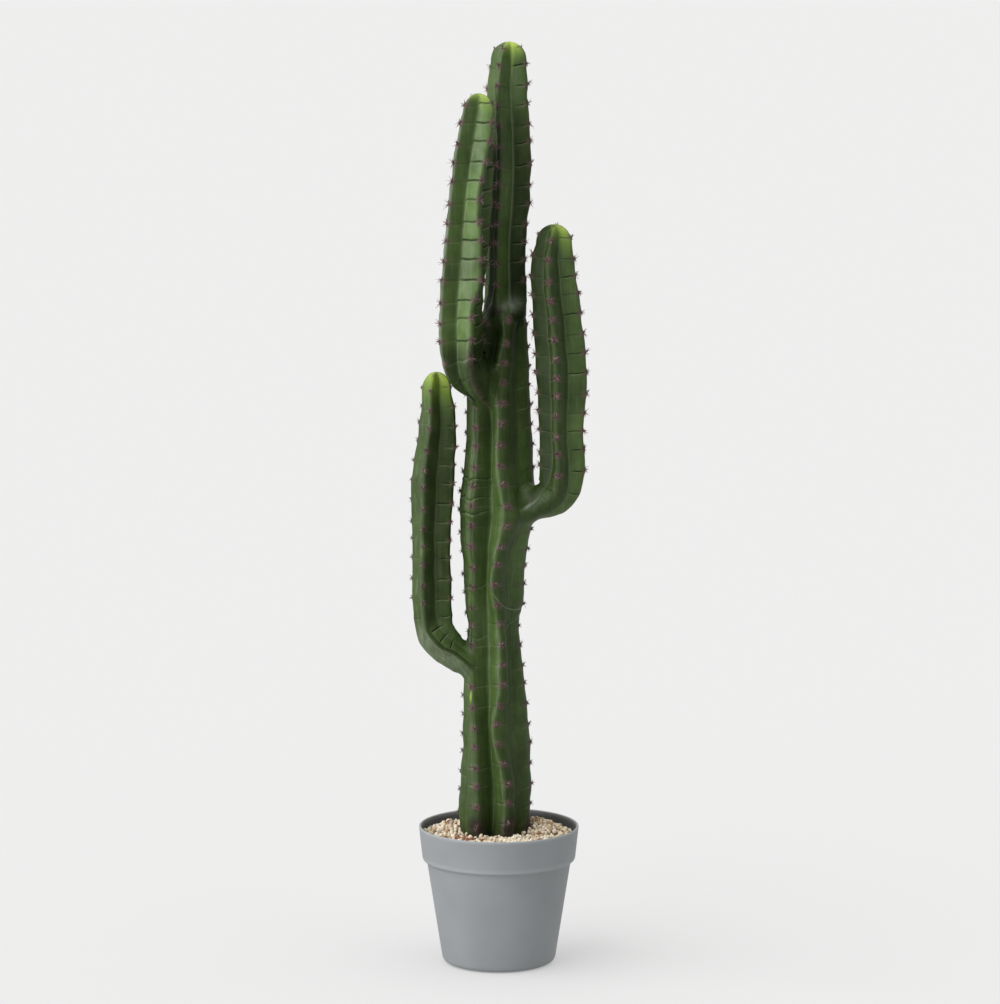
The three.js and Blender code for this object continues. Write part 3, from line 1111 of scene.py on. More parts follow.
    def paint_fresh(self, fresh: Array) -> None:
        """Paints the fresh growth down from the tip, further on some flanks and in a groove, and the blush.

        Args:
            fresh: how far it runs down each column.
        """
        before = (self.columns.rib == self.fresh_groove) & self.columns.after
        groove = before | (self.columns.rib == self.fresh_groove + 1) & ~self.columns.after
        fresh = fresh + self.valley_fresh * groove * bell(1.0 - self.columns.flank, 0.15)
        reach = self.rows.along[-1] - self.rows.along[:, None]
        grown = self.fresh_strength * np.clip(1.35 * (1.0 - reach / fresh), 0.0, 1.0) ** 1.5
        *place, strength = self.blush
        blush = strength * np.clip(1.6 * self.spot(*place), 0.0, 1.0)
        self.paint[Paint.TIP][:] = np.maximum(grown, blush)

    def paint_wrinkles(self, ribbed: Array) -> None:
        """Adds the wrinkles: bells about courses that wander down the flank, broken up by quicker noise.

        Args:
            ribbed: how far each row's ribs have deepened.
        """
        for rib, side, share, strength in self.wrinkles:
            own = (self.columns.rib == rib) & (self.columns.after == side.value)
            course = share + 0.10 * wander(self.rows.along, 0.09, self.rng)[:, None]
            patchy = np.clip(0.5 + wander(self.rows.along, 0.05, self.rng), 0.0, 1.0)[:, None]
            line = bell(self.columns.flank - course, 0.08)
            self.paint[Paint.PALE] += strength * own * line * patchy * ribbed

    def spot(self, height: float, bearing: float, length: float, width: float) -> Array:
        """A place on the skin: a bell of the height times a bell of the bearing."""
        return bell(self.rows.centre[:, 2:] - height, length) * bell(self.bearing - bearing, width)

    def points(self) -> Array:
        """Works out the skin: each row's centre plus its section, relief and shift.

        Returns:
            Points by row and column.
        """
        place = self.section * self.rows.radius[:, None, None] + self.outward * self.lift[..., None]
        across = place[..., :1] * self.rows.side[:, None] + place[..., 1:] * self.rows.front[:, None]
        return self.rows.centre[:, None] + across + self.shift

    @staticmethod
    def ways_out(skin: Array) -> Array:
        """The way out of the skin at each point: the cross of its slopes round and along the limb."""
        around = np.roll(skin, -1, axis=1) - np.roll(skin, 1, axis=1)
        return unit(np.cross(around, np.gradient(skin, axis=0)))

    def build(self, material: Material) -> None:
        """Makes the skin's mesh and settles it in place of its solids.

        Args:
            material: the skin's finish.
        """
        apex = self.rows.centre[-1] + self.rows.run[-1] * 0.25 * self.rows.radius[-1]
        paint = {key.value: values for key, values in self.paint.items()}
        piece = Surface(self.points(), self.rows.centre[0], apex, paint).build(self.name)
        settle(piece, material, self.nodes)

    def anchors(self) -> Anchors:
        """Areoles on the crests, from above the bare root to the tip, smaller at the tip.

        Returns:
            Their places, outward ways, runs and sizes.
        """
        skin = self.points()
        out = self.ways_out(skin)
        last = self.rows.along[-1] - self.tip_bare
        kept = [marks[(marks > self.root_bare) & (marks < last)] for marks in self.marks]
        row = np.searchsorted(self.rows.along, np.concatenate(kept))
        column = np.repeat(self.columns.crest, [len(marks) for marks in kept])
        to_tip = self.rows.along[-1] - self.rows.along[row]
        size = self.tuft * (0.5 + 0.5 * smooth_step(0.0, 0.06, to_tip))
        return Anchors(skin[row, column], out[row, column], self.rows.run[row], size)


@dataclass
class Trunk(Limb):
    """The trunk: six uneven ribs, old folds on the left, a sleeve's edge on the right and a stained foot.

    Bearings are degrees, and a place is (height, bearing). Each fill is (groove, height, spread, depth that
    it comes up to). Tones are (height, tone) places on the front: painted shadow of the front arm near the
    top, and darker towards the foot.
    """

    sleeve_bearings: tuple[float, ...] = (-14.0, -3.0, 12.0, 27.0, 60.0, 110.0)
    sleeve_heights: tuple[float, ...] = (0.524, 0.496, 0.482, 0.475, 0.470, 0.474)
    sleeve_window: tuple[Span, Span] = ((-16.0, -4.0), (95.0, 115.0))
    sleeve_profile: tuple[Span, Span] = ((-0.0012, 0.0028), (0.012, 0.09))
    sleeve_step: float = 0.0016
    tuck_bearings: Span = (30.0, 75.0)
    tuck_heights: Span = (0.444, 0.459)
    tuck_window: tuple[Span, Span] = ((24.0, 36.0), (80.0, 95.0))
    tuck_depth: float = 0.0012
    tuck_width: float = 0.003
    fold_heights: tuple[float, ...] = (0.300, 0.437, 0.505, 0.600, 0.619, 0.644, 0.700)
    fold_strengths: tuple[float, ...] = (0.0, 0.4, 0.5, 0.9, 0.8, 1.0, 0.0)
    fold_bearings: Span = (-100.0, -16.0)
    fold_dip: float = 0.005
    fold_depth: float = 0.0013
    fold_swell: float = 0.0008
    fold_waver: float = 0.0016
    fold_waves: float = 12.0
    top_soft: Span = (0.824, 0.857)
    top_valley: float = 0.86
    fills: tuple[tuple[int, float, float, float], ...] = ((1, 0.768, 0.034, 0.93), (2, 0.602, 0.034, 0.95))
    # Painted shade by height: the front arm's shadow near the top, darker towards the foot.
    tones: tuple[Span, ...] = (
        (0.17, 0.50), (0.25, 0.75), (0.37, 0.77), (0.46, 0.93), (0.66, 0.90), (0.75, 0.6), (0.86, 0.6),
    )
    recess_place: Span = (0.790, -17.0)
    recess_size: Span = (0.045, 15.0)
    recess_shade: float = 0.55
    stain_heights: Span = (0.178, 0.208)

    def valley_depths(self) -> Array:
        """The limb's own depths, filled up where arms spring and towards the top where the stem stands.

        Returns:
            The depths.
        """
        depths = super().valley_depths()
        height = self.rows.centre[:, 2]
        for groove, middle, spread, share in self.fills:
            depths[:, groove] += bell(height - middle, spread) * (share - depths[:, groove])
        soft = smooth_step(*self.top_soft, height)[:, None]
        return depths + soft * (self.top_valley - depths)

    def carve(self) -> None:
        """Adds the sleeve and the folds to the relief of every limb and paints their lines."""
        super().carve()
        swing, lip = self.carve_sleeve()
        fold_swing, fold = self.carve_folds()
        left = self.bearing < self.fold_bearings[1]
        self.paint[Paint.FOLD_SWING][:] = np.where(left, fold_swing, swing)
        self.paint[Paint.FOLD_CREASE][:] = np.where(left, 0.55 * fold, 0.2 * lip)
        self.paint[Paint.FOLD_LIP][:] = np.where(left, 0.6 * fold, lip)

    def carve_sleeve(self) -> tuple[Array, Array]:
        """Carves the sleeve's edge and the tuck under it.

        The edge is a step along a curve of height over bearing that fades upwards. The tuck is a shallow
        groove along another.

        Returns:
            Swing about the nearer of the two lines, and the strength of its pale lip, a painted highlight.
        """
        height = self.rows.centre[:, 2:]
        sleeve = np.interp(self.bearing, self.sleeve_bearings, self.sleeve_heights)
        tuck = np.interp(self.bearing, self.tuck_bearings, self.tuck_heights)
        inside = window(*self.sleeve_window, self.bearing)
        sector = window(*self.tuck_window, self.bearing)
        self.lift += self.sleeve_step * inside * window(*self.sleeve_profile, height - sleeve)
        self.lift -= self.tuck_depth * sector * bell(height - tuck, self.tuck_width)
        index = np.clip((height - tuck) / (sleeve - tuck), -0.5, 1.5)
        swing, share, near = swing_about(index, sleeve - tuck)
        return swing, np.where(near == 1, 1.2 * inside, 0.7 * sector) * share

    def carve_folds(self) -> tuple[Array, Array]:
        """Carves the folds: wavering creases that dip between their ends like a smile, each over a swell.

        Returns:
            Swing about the nearest fold, and the strength of that fold.
        """
        height = self.rows.centre[:, 2:]
        low, high = self.fold_bearings
        across = np.clip((self.bearing - low) / (high - low), 0.0, 1.0)
        smile = np.sin(np.pi * across)
        waver = self.fold_waver * np.sin(np.radians(self.fold_waves * self.bearing) + 70.0 * height)
        index, pitch = among(height + self.fold_dip * smile + waver, np.array(self.fold_heights))
        swing, share, near = swing_about(index, pitch)
        fold = np.sqrt(smile) * (across > 0) * (across < 1) * share
        fold = fold * np.array(self.fold_strengths)[near]
        self.lift -= self.fold_depth * fold * bell(swing, 1.5)
        self.lift += self.fold_swell * fold * bell(swing + 4.0, 3.0)
        return swing, fold

    def colour_places(self) -> None:
        """Adds the painted shade by height, the painted shade in the recess by the upper arm and the foot's
        stains.
        """
        super().colour_places()
        height = self.rows.centre[:, 2:]
        front = smooth_step(-0.2, 0.6, np.cos(np.radians(self.bearing)))
        # Painted shade by height on the front: the front arm's shadow near the top, darker towards the foot.
        self.paint[Paint.TONE] *= 1.0 + front * (np.interp(height, *np.array(self.tones).T) - 1.0)
        recess = self.spot(*self.recess_place, *self.recess_size)
        # Painted shade in the recess beside the front arm's root.
        self.paint[Paint.TONE] *= 1.0 - self.recess_shade * np.clip(1.3 * recess, 0.0, 1.0)
        low = 1.0 - smooth_step(*self.stain_heights, height)
        crest = bell(self.columns.flank, 0.35)
        self.paint[Paint.STAIN][:] = np.clip(2.2 * low * (0.06 + 0.94 * crest), 0.0, 1.0)


@dataclass
class TopStem(Limb):
    """The stem on the trunk's top: painted shadow behind the front arm, painted shade at its foot, darker
    low on the right, and painted light towards its tip.

    The heights are spans over which a tone comes in or fades, each with its gain or loss. The smudge and the
    marks round its foot are (height, bearing, length, width).
    """

    left_bearings: Span = (-34.0, -18.0)
    right_bearings: Span = (10.0, 25.0)
    back_bearings: Span = (-125.0, -105.0)
    dark_heights: Span = (1.05, 1.09)
    dark_loss: float = 0.75
    foot_heights: Span = (0.856, 0.880)
    foot_loss: float = 0.45
    right_heights: Span = (1.03, 1.15)
    right_gain: float = 1.1
    left_heights: Span = (1.10, 1.16)
    left_gain: float = 0.38
    deep_heights: Span = (0.89, 0.98)
    deep_loss: float = 0.4
    smudge_place: Station = (0.866, 18.0, 0.008, 30.0)
    marks_place: Station = (0.856, -24.0, 0.007, 24.0)

    def colour_places(self) -> None:
        """Adds the painted shade and light, the pale smudge and the marks to the limb's own paint."""
        super().colour_places()
        height, bearing, tone = self.rows.centre[:, 2:], self.bearing, self.paint[Paint.TONE]
        left = 1.0 - smooth_step(*self.left_bearings, bearing)
        right = smooth_step(*self.right_bearings, bearing)
        dark = 1.0 - smooth_step(*self.dark_heights, height)
        # Painted shadow of the front arm on the stem's left, below the arm's tip.
        tone *= 1.0 - self.dark_loss * dark * left * (bearing > -100.0)
        # Painted shade at the stem's foot, where it meets the trunk.
        foot = (1.0 - smooth_step(*self.foot_heights, height)) * bell(bearing + 30.0, 40.0)
        tone *= 1.0 - self.foot_loss * foot
        # Painted light high on the right, above the front arm's shadow.
        tone *= 1.0 + self.right_gain * (smooth_step(*self.right_heights, height) * right)
        # Painted light high on the left, towards the tip.
        bright = smooth_step(*self.left_heights, height) * left * smooth_step(*self.back_bearings, bearing)
        tone *= 1.0 + self.left_gain * bright
        # Darker low on the right.
        deep = (1.0 - smooth_step(*self.deep_heights, height)) * right * (bearing < 90.0)
        tone *= 1.0 - self.deep_loss * deep
        self.paint[Paint.PALE][:] = 0.85 * self.spot(*self.smudge_place)
        self.paint[Paint.STAIN][:] = 0.9 * self.spot(*self.marks_place)


class SkinMap:
    """An upright limb's skin by height and bearing: how far it stands from the axis, and its tone of painted
    light and shade.
    """

    def __init__(self, limb: Limb, row_stride: int = 3, bearings: int = 360) -> None:
        """Tabulates the skin on even bearings at every few rows.

        Args:
            limb: the limb.
            row_stride: rows from one table row to the next.
            bearings: even bearings to a turn.
        """
        skin = limb.points()[::row_stride]
        self.axis = limb.rows.centre[::row_stride]
        self.even = np.arange(bearings) * FULL_TURN / bearings
        reach = skin[..., :2] - self.axis[:, None, :2]
        turn = self.turn(reach)
        self.radius = self.tabulate(turn, np.linalg.norm(reach, axis=-1))
        self.tone = self.tabulate(turn, limb.paint[Paint.TONE][::row_stride])

    @staticmethod
    def turn(reach: Array) -> Array:
        """Bearings of level ways from the axis, from 0 up to a full turn."""
        return np.degrees(np.arctan2(reach[..., 0], -reach[..., 1])) % FULL_TURN

    def tabulate(self, turn: Array, values: Array) -> Array:
        """Carries values over to the even bearings, row by row.

        Args:
            turn: bearings of the values.
            values: values by row and column.

        Returns:
            The table.
        """
        order = np.argsort(turn, axis=1)
        rows = zip(np.take_along_axis(turn, order, axis=1), np.take_along_axis(values, order, axis=1))
        return np.stack([np.interp(self.even, row_turn, row, period=FULL_TURN) for row_turn, row in rows])

    def reach(self, points: Array) -> Array:
        """Level ways from the axis to points.

        Args:
            points: the points.

        Returns:
            The ways as x and y.
        """
        heights = self.axis[:, 2]
        middle = [np.interp(points[..., 2], heights, self.axis[:, side]) for side in range(2)]
        return points[..., :2] - np.stack(middle, axis=-1)

    def sample(self, table: Array, points: Array) -> Array:
        """A table's values at points, in proportion between its four nearest entries.

        Args:
            table: values by row and bearing.
            points: places to look up.

        Returns:
            The values.
        """
        row = np.interp(points[..., 2], self.axis[:, 2], np.arange(len(table)))
        column = self.turn(self.reach(points)) / FULL_TURN * len(self.even)
        low, left = row.astype(int), column.astype(int)
        high = np.minimum(low + 1, len(table) - 1)
        left, right = left % len(self.even), (left + 1) % len(self.even)
        up, over = row - low, column - np.floor(column)
        lower = table[low, left] * (1 - over) + table[low, right] * over
        upper = table[high, left] * (1 - over) + table[high, right] * over
        return lower * (1 - up) + upper * up

    def clearance(self, points: Array) -> Array:
        """Level distance of points outside the skin, negative inside it."""
        return np.linalg.norm(self.reach(points), axis=-1) - self.sample(self.radius, points)

    def outward(self, points: Array) -> Array:
        """Level unit ways from the axis to points."""
        reach = self.reach(points)
        return unit(np.concatenate([reach, np.zeros((*reach.shape[:-1], 1))], axis=-1))


@dataclass
class Plant:
    """The cactus: trunk, top stem and three arms, with their skins run together where they meet."""

    trunk: Trunk
    stem: Limb
    arms: tuple[Limb, ...]
    sunk: float = 0.0009
    buried: Span = (-0.010, -0.003)
    gravel_top: float = 0.178
    cover: float = 0.004
    keep_off: float = 0.6
    trunk_map: SkinMap = field(init=False)

    def shape(self) -> None:
        """Shapes every limb, then flares each arm onto the trunk and the trunk's top onto the stem."""
        for limb in self.limbs():
            limb.shape()
        self.trunk_map = SkinMap(self.trunk)
        for arm in self.arms:
            self.flare(arm, self.trunk_map, arm.rows.along < arm.root_clear + 4 * arm.fillet)
        self.flare(self.trunk, SkinMap(self.stem), self.trunk.rows.centre[:, 2] > self.trunk.top_soft[0])

    def limbs(self) -> tuple[Limb, ...]:
        """All limbs, the trunk first."""
        return (self.trunk, self.stem, *self.arms)

    def flare(self, limb: Limb, bearer: SkinMap, rows: Array) -> None:
        """Rounds the junction of a limb with its bearer by spreading its skin along the bearer's.

        Points slide square to the bearer's radius by a quarter circle of their clearance, so that the skin
        meets the bearer's level with it and dips just under it. Their tone of painted light and shade runs
        over into the bearer's, and pale places fade.

        Args:
            limb: the limb that flares.
            bearer: the skin that it meets.
            rows: which of the limb's rows may move.
        """
        skin = limb.points()
        points, out = skin[rows], limb.ways_out(skin)[rows]
        gap = bearer.clearance(points)
        level = bearer.outward(points)
        slide = unit(out - (out * level).sum(axis=-1, keepdims=True) * level)
        share = np.clip(1.0 - gap / limb.fillet, 0.0, 1.0)
        push = limb.fillet * (1.0 - np.sqrt(1.0 - share**2)) * smooth_step(*self.buried, gap)
        moved = points + push[..., None] * slide
        lift = gap - self.sunk * share**2 - bearer.clearance(moved)
        moved += (push > 0)[..., None] * lift[..., None] * bearer.outward(moved)
        limb.shift[rows] += moved - points
        own = smooth_step(0.0, limb.fillet, gap)
        tone = bearer.sample(bearer.tone, moved)
        limb.paint[Paint.TONE][rows] = tone + own * (limb.paint[Paint.TONE][rows] - tone)
        limb.paint[Paint.PALE][rows] *= smooth_step(-limb.fillet, limb.fillet, gap)

    @staticmethod
    def gap_to_root(arm: Limb, points: Array) -> Array:
        """Distance of points outside the arm's bend, taken as round.

        Args:
            arm: the arm.
            points: places to measure.

        Returns:
            The distance to the nearest ring's centre less its mean radius.
        """
        stride, mean_radius = 4, 0.92
        bend = np.flatnonzero(arm.rows.along < arm.root_clear + 2 * arm.fillet)[::stride]
        gap = np.full(points.shape[:-1], np.inf)
        for ring in bend:
            away = np.linalg.norm(points - arm.rows.centre[ring], axis=-1)
            gap = np.minimum(gap, away - mean_radius * arm.rows.radius[ring])
        return gap

    def build(self, finish: SkinFinish) -> None:
        """Makes every limb's skin in the same finish."""
        material = finish.material()
        for limb in self.limbs():
            limb.build(material)

    def anchors(self) -> Anchors:
        """Areoles of all limbs.

        Returns:
            Those that neither another limb nor the gravel covers.
        """
        found = []
        for limb in self.limbs():
            spots = limb.anchors()
            if limb is self.trunk:
                clear = spots.place[:, 2] > self.gravel_top
                for arm in self.arms:
                    clear &= self.gap_to_root(arm, spots.place) > self.keep_off * arm.fillet
            else:
                clear = self.trunk_map.clearance(spots.place) > self.cover
                clear |= spots.place[:, 2] > self.trunk_map.axis[-1, 2]
            found.append([spots.place[clear], spots.out[clear], spots.run[clear], spots.size[clear]])
        return Anchors(*(np.concatenate(parts) for parts in zip(*found)))


class BristleTint(Enum):
    """Finishes of the bristles with the share of bristles that each takes."""

    PLUM = (BristleFinish("bristle_plum", (0.070, 0.041, 0.041), (0.128, 0.078, 0.076)), 0.45)
    MAUVE = (BristleFinish("bristle_mauve", (0.172, 0.102, 0.100), (0.265, 0.168, 0.160)), 0.47)
    STRAW = (BristleFinish("bristle_straw", (0.340, 0.260, 0.230), (0.460, 0.380, 0.340)), 0.08)


@dataclass
class Tufts:
    """Bristle tufts: on each areole a felted pad and a star of short bent bristles.

    Lean is in degrees from the way out, and curl is the bend as a share of the length.
    """

    anchors: Anchors
    seed: int = 5
    bristles: int = 18
    length: Span = (0.0030, 0.0072)
    lean: Span = (42.0, 95.0)
    base_radius: float = 0.00044
    tip_radius: float = 0.00016
    pad_radius: float = 0.0019
    pad_height: float = 0.0009
    pad_columns: int = 8
    pad_rings: Span = (1.0, 0.6)
    pad_ragged: Span = (0.75, 1.25)
    pad_stretch: float = 1.35
    pad_sink: float = 0.0004
    curl: Span = (0.05, 0.38)
    root_lift: float = 0.0003
    rings: int = 4
    sides: int = 3
    felt: BristleFinish = BristleFinish(
        "areole_felt", (0.122, 0.069, 0.069), (0.205, 0.127, 0.124), roughness=0.9, shine=0.1,
    )

    def build(self) -> None:
        """Makes the pads and the bristles of each tint as joined meshes."""
        rng = np.random.default_rng(self.seed)
        count = len(self.anchors.place)
        side = unit(np.cross(self.anchors.run, self.anchors.out))
        settle(self.pads(side, rng), self.felt.material())
        curves = self.curves(side, rng)
        names = list(BristleTint)
        deal = rng.choice(len(names), size=count * self.bristles, p=[tint.value[1] for tint in names])
        for index, tint in enumerate(names):
            finish = tint.value[0]
            settle(self.tubes(f"{finish.name}s", curves[deal == index]), finish.material())

    def curves(self, side: Array, rng: Random) -> Array:
        """Centre lines of all bristles.

        Each leaves its pad at a random lean from the way out, towards a random way round, and bends by a
        share of its length that grows with the square of the distance.

        Args:
            side: the way across the crest at each areole.
            rng: seeded source.

        Returns:
            Points as (bristle, ring, xyz).
        """
        shape = (len(self.anchors.place), self.bristles)
        lean = np.radians(rng.uniform(*self.lean, shape))[..., None]
        turn = rng.uniform(0, 2 * np.pi, shape)[..., None]
        out, run = self.anchors.out[:, None], self.anchors.run[:, None]
        way = np.cos(lean) * out + np.sin(lean) * (np.cos(turn) * run + np.sin(turn) * side[:, None])
        reach = (rng.uniform(*self.length, shape) * self.anchors.size[:, None])[..., None]
        curl = unit(rng.normal(size=(*shape, 3))) * rng.uniform(*self.curl, shape)[..., None]
        share = np.linspace(0, 1, self.rings)[:, None]
        root = self.anchors.place[:, None] + self.root_lift * out
        lines = root[:, :, None] + (reach * way)[:, :, None] * share + (reach * curl)[:, :, None] * share**2
        return lines.reshape(-1, self.rings, 3)

    def tubes(self, name: str, lines: Array) -> Piece:
        """Three-sided tapering tubes along the lines, closed at both ends.

        Args:
            name: name of the joined piece.
            lines: centre lines as (bristle, ring, xyz).

        Returns:
            The piece.
        """
        askew = np.array([0.31, 0.52, 0.79])
        way = unit(lines[:, -1] - lines[:, 0])
        level = unit(np.cross(way, askew))
        upright = np.cross(way, level)
        angle = 2 * np.pi * np.arange(self.sides) / self.sides
        radius = np.linspace(self.base_radius, self.tip_radius, self.rings)[:, None, None]
        ring = np.cos(angle)[:, None] * level[:, None, None] + np.sin(angle)[:, None] * upright[:, None, None]
        vertices = lines[:, :, None] + radius * ring
        index = np.arange(vertices.size // 3).reshape(vertices.shape[:3])
        ends = np.concatenate([index[:, 0, ::-1], index[:, -1]])
        return mesh_object(name, vertices.reshape(-1, 3), (ring_quads(index), ends))

    def pads(self, side: Array, rng: Random) -> Piece:
        """Felted pads: low domes, longer along the rib, with a ragged rim.

        Args:
            side: the way across the crest at each areole.
            rng: seeded source.

        Returns:
            The joined piece: the dome's height falls with the square of the distance from its middle.
        """
        count, columns = len(side), self.pad_columns
        angle = 2 * np.pi * np.arange(columns) / columns
        shares = np.array(self.pad_rings)
        ragged = rng.uniform(*self.pad_ragged, (count, 1, columns))
        width = self.pad_radius * self.anchors.size[:, None, None] * shares[:, None] * ragged
        level = (width * np.cos(angle))[..., None] * side[:, None, None]
        lengthwise = (self.pad_stretch * width * np.sin(angle))[..., None] * self.anchors.run[:, None, None]
        rise = (self.pad_height * (1 - shares**2) - self.pad_sink)[:, None, None]
        domes = self.anchors.place[:, None, None] + level + lengthwise
        domes = domes + rise * self.anchors.out[:, None, None]
        tops = self.anchors.place + self.pad_height * self.anchors.out
        index = np.arange(count * 2 * columns).reshape(count, 2, columns)
        right = np.roll(index, -1, axis=2)
        apex = np.broadcast_to(count * 2 * columns + np.arange(count)[:, None], (count, columns))
        fans = np.stack([index[:, 1], right[:, 1], apex], axis=-1).reshape(-1, 3)
        faces = (ring_quads(index), fans, index[:, 0, ::-1])
        return mesh_object("areole_pads", np.concatenate([domes.reshape(-1, 3), tops]), faces)


def straight(start: Sequence[float], end: Sequence[float], count: int) -> Array:
    """Points from start towards end, without the end."""
    share = np.linspace(0, 1, count, endpoint=False)[:, None]
    return np.array(start) + share * (np.array(end) - np.array(start))


def curved(start: Sequence[float], corner: Sequence[float], end: Sequence[float], count: int) -> Array:
    """Points of a quadratic curve from start to end, without the end."""
    share = np.linspace(0, 1, count, endpoint=False)[:, None]
    return quadratic(np.array(start), np.array(corner), np.array(end), share)


def arc(centre: Sequence[float], radius: float, first: float, last: float, count: int) -> Array:
    """Arc about a centre from one angle to another, in degrees from the outward axis, without the end."""
    angle = np.radians(np.linspace(first, last, count, endpoint=False))
    return np.array(centre) + radius * np.stack([np.cos(angle), np.sin(angle)], axis=-1)


def turned(profile: Array, columns: int) -> Array:
    """Carries a profile round the vertical axis.

    Args:
        profile: radius and height of each point.
        columns: points to a turn.

    Returns:
        The points by profile point and column.
    """
    angle = 2 * np.pi * np.arange(columns) / columns
    radius, height = profile[:, :1], np.broadcast_to(profile[:, 1:], (len(profile), columns))
    return np.stack([radius * np.sin(angle), -radius * np.cos(angle), height], axis=-1)


@dataclass
class CollarPot:
    """The pot: flat foot, rounded heel, tapering body, soft step out to a collar and a rounded lip."""

    height: float = 0.181
    rim_radius: float = 0.1045
    wall: float = 0.003
    floor: float = 0.005
    collar_height: float = 0.045
    collar_foot_radius: float = 0.1003
    collar_round: float = 0.005
    shoulder_radius: float = 0.0935
    shoulder_drop: float = 0.007
    step_softness: float = 0.001
    taper: float = 0.157
    heel: float = 0.009
    lip_pale_width: float = 0.002
    collar_pale_width: float = 0.003
    shade_depths: Span = (0.0006, 0.0026)
    columns: int = 192

    def body_radius(self, height: float) -> float:
        """Outer radius of the body under the collar."""
        drop = self.height - self.collar_height - self.shoulder_drop - height
        return self.shoulder_radius - self.taper * drop

    def profile(self) -> Array:
        """Outline as radius and height, from the axis under the foot round to the axis inside.

        Returns:
            The outline without its two ends on the axis.
        """
        collar_foot = self.height - self.collar_height
        shoulder = collar_foot - self.shoulder_drop
        shoulder_edge = (self.shoulder_radius + self.step_softness, collar_foot - self.step_softness)
        step = (self.collar_foot_radius - self.collar_round / 2, collar_foot)
        collar_edge = (self.collar_foot_radius, collar_foot + self.collar_round)
        heel_radius = self.body_radius(self.heel) - self.heel
        lip = self.wall / 2
        lip_height = self.height - lip
        lean = math.degrees(math.atan(self.taper))
        heel_end = arc((heel_radius, self.heel), self.heel, -lean, 0.0, 1)[0]
        inner_collar = (self.collar_foot_radius - self.wall, collar_foot + self.collar_round)
        inner_shoulder = (self.shoulder_radius - self.wall, shoulder)
        inner_heel = (heel_radius + self.heel - 2 * self.wall, self.floor)
        return np.concatenate([
            straight((0.002, 0.0), (heel_radius, 0.0), 8),
            arc((heel_radius, self.heel), self.heel, -90.0, -lean, 12),
            straight(heel_end, (self.shoulder_radius, shoulder), 24),
            curved((self.shoulder_radius, shoulder), shoulder_edge, step, 10),
            curved(step, (self.collar_foot_radius, collar_foot + self.step_softness), collar_edge, 10),
            straight(collar_edge, (self.rim_radius, lip_height), 12),
            arc((self.rim_radius - lip, lip_height), lip, 0.0, 180.0, 12),
            straight((self.rim_radius - self.wall, lip_height), inner_collar, 8),
            straight(inner_collar, inner_shoulder, 4),
            straight(inner_shoulder, inner_heel, 8),
            straight(inner_heel, (0.0, self.floor), 4),
        ])

    def build(self, finish: PotFinish) -> None:
        """Turns the outline round the axis, paints the lip and the collar's lower edge paler and paints shade
        on the inside.

        Args:
            finish: the pot's finish.
        """
        profile = self.profile()
        points = turned(profile, self.columns)
        lip = bell(profile[:, 1] - self.height, self.lip_pale_width)
        collar_foot = self.height - self.collar_height
        outside = profile[:, 0] > self.collar_foot_radius - self.wall
        edge = lip + 0.6 * bell(profile[:, 1] - collar_foot - self.collar_pale_width, self.collar_pale_width) * outside
        inner = np.arange(len(profile)) > np.argmax(profile[:, 1])
        inside = inner * smooth_step(*self.shade_depths, self.height - profile[:, 1])
        rings = {PotPaint.EDGE: np.clip(edge, 0, 1), PotPaint.INSIDE: inside}
        paint = {key.value: np.repeat(ring[:, None], self.columns, axis=1) for key, ring in rings.items()}
        surface = Surface(points, np.zeros(3), np.array([0.0, 0.0, self.floor]), paint)
        piece = surface.build("collar_pot")
        settle(piece, finish.material(), ("pot",))


class GravelTint(Enum):
    """Finishes of the gravel with the share of grains that each takes."""

    CREAM = (StoneFinish("gravel_cream", (0.80, 0.70, 0.53), (0.68, 0.56, 0.40)), 0.44)
    PALE = (StoneFinish("gravel_pale", (0.86, 0.79, 0.66), (0.76, 0.67, 0.52)), 0.38)
    TAN = (StoneFinish("gravel_tan", (0.58, 0.44, 0.29), (0.46, 0.33, 0.20)), 0.12)
    GREY = (StoneFinish("gravel_grey", (0.50, 0.44, 0.36), (0.36, 0.31, 0.25)), 0.05)
    RUST = (StoneFinish("gravel_rust", (0.34, 0.17, 0.10), (0.22, 0.11, 0.07)), 0.01)


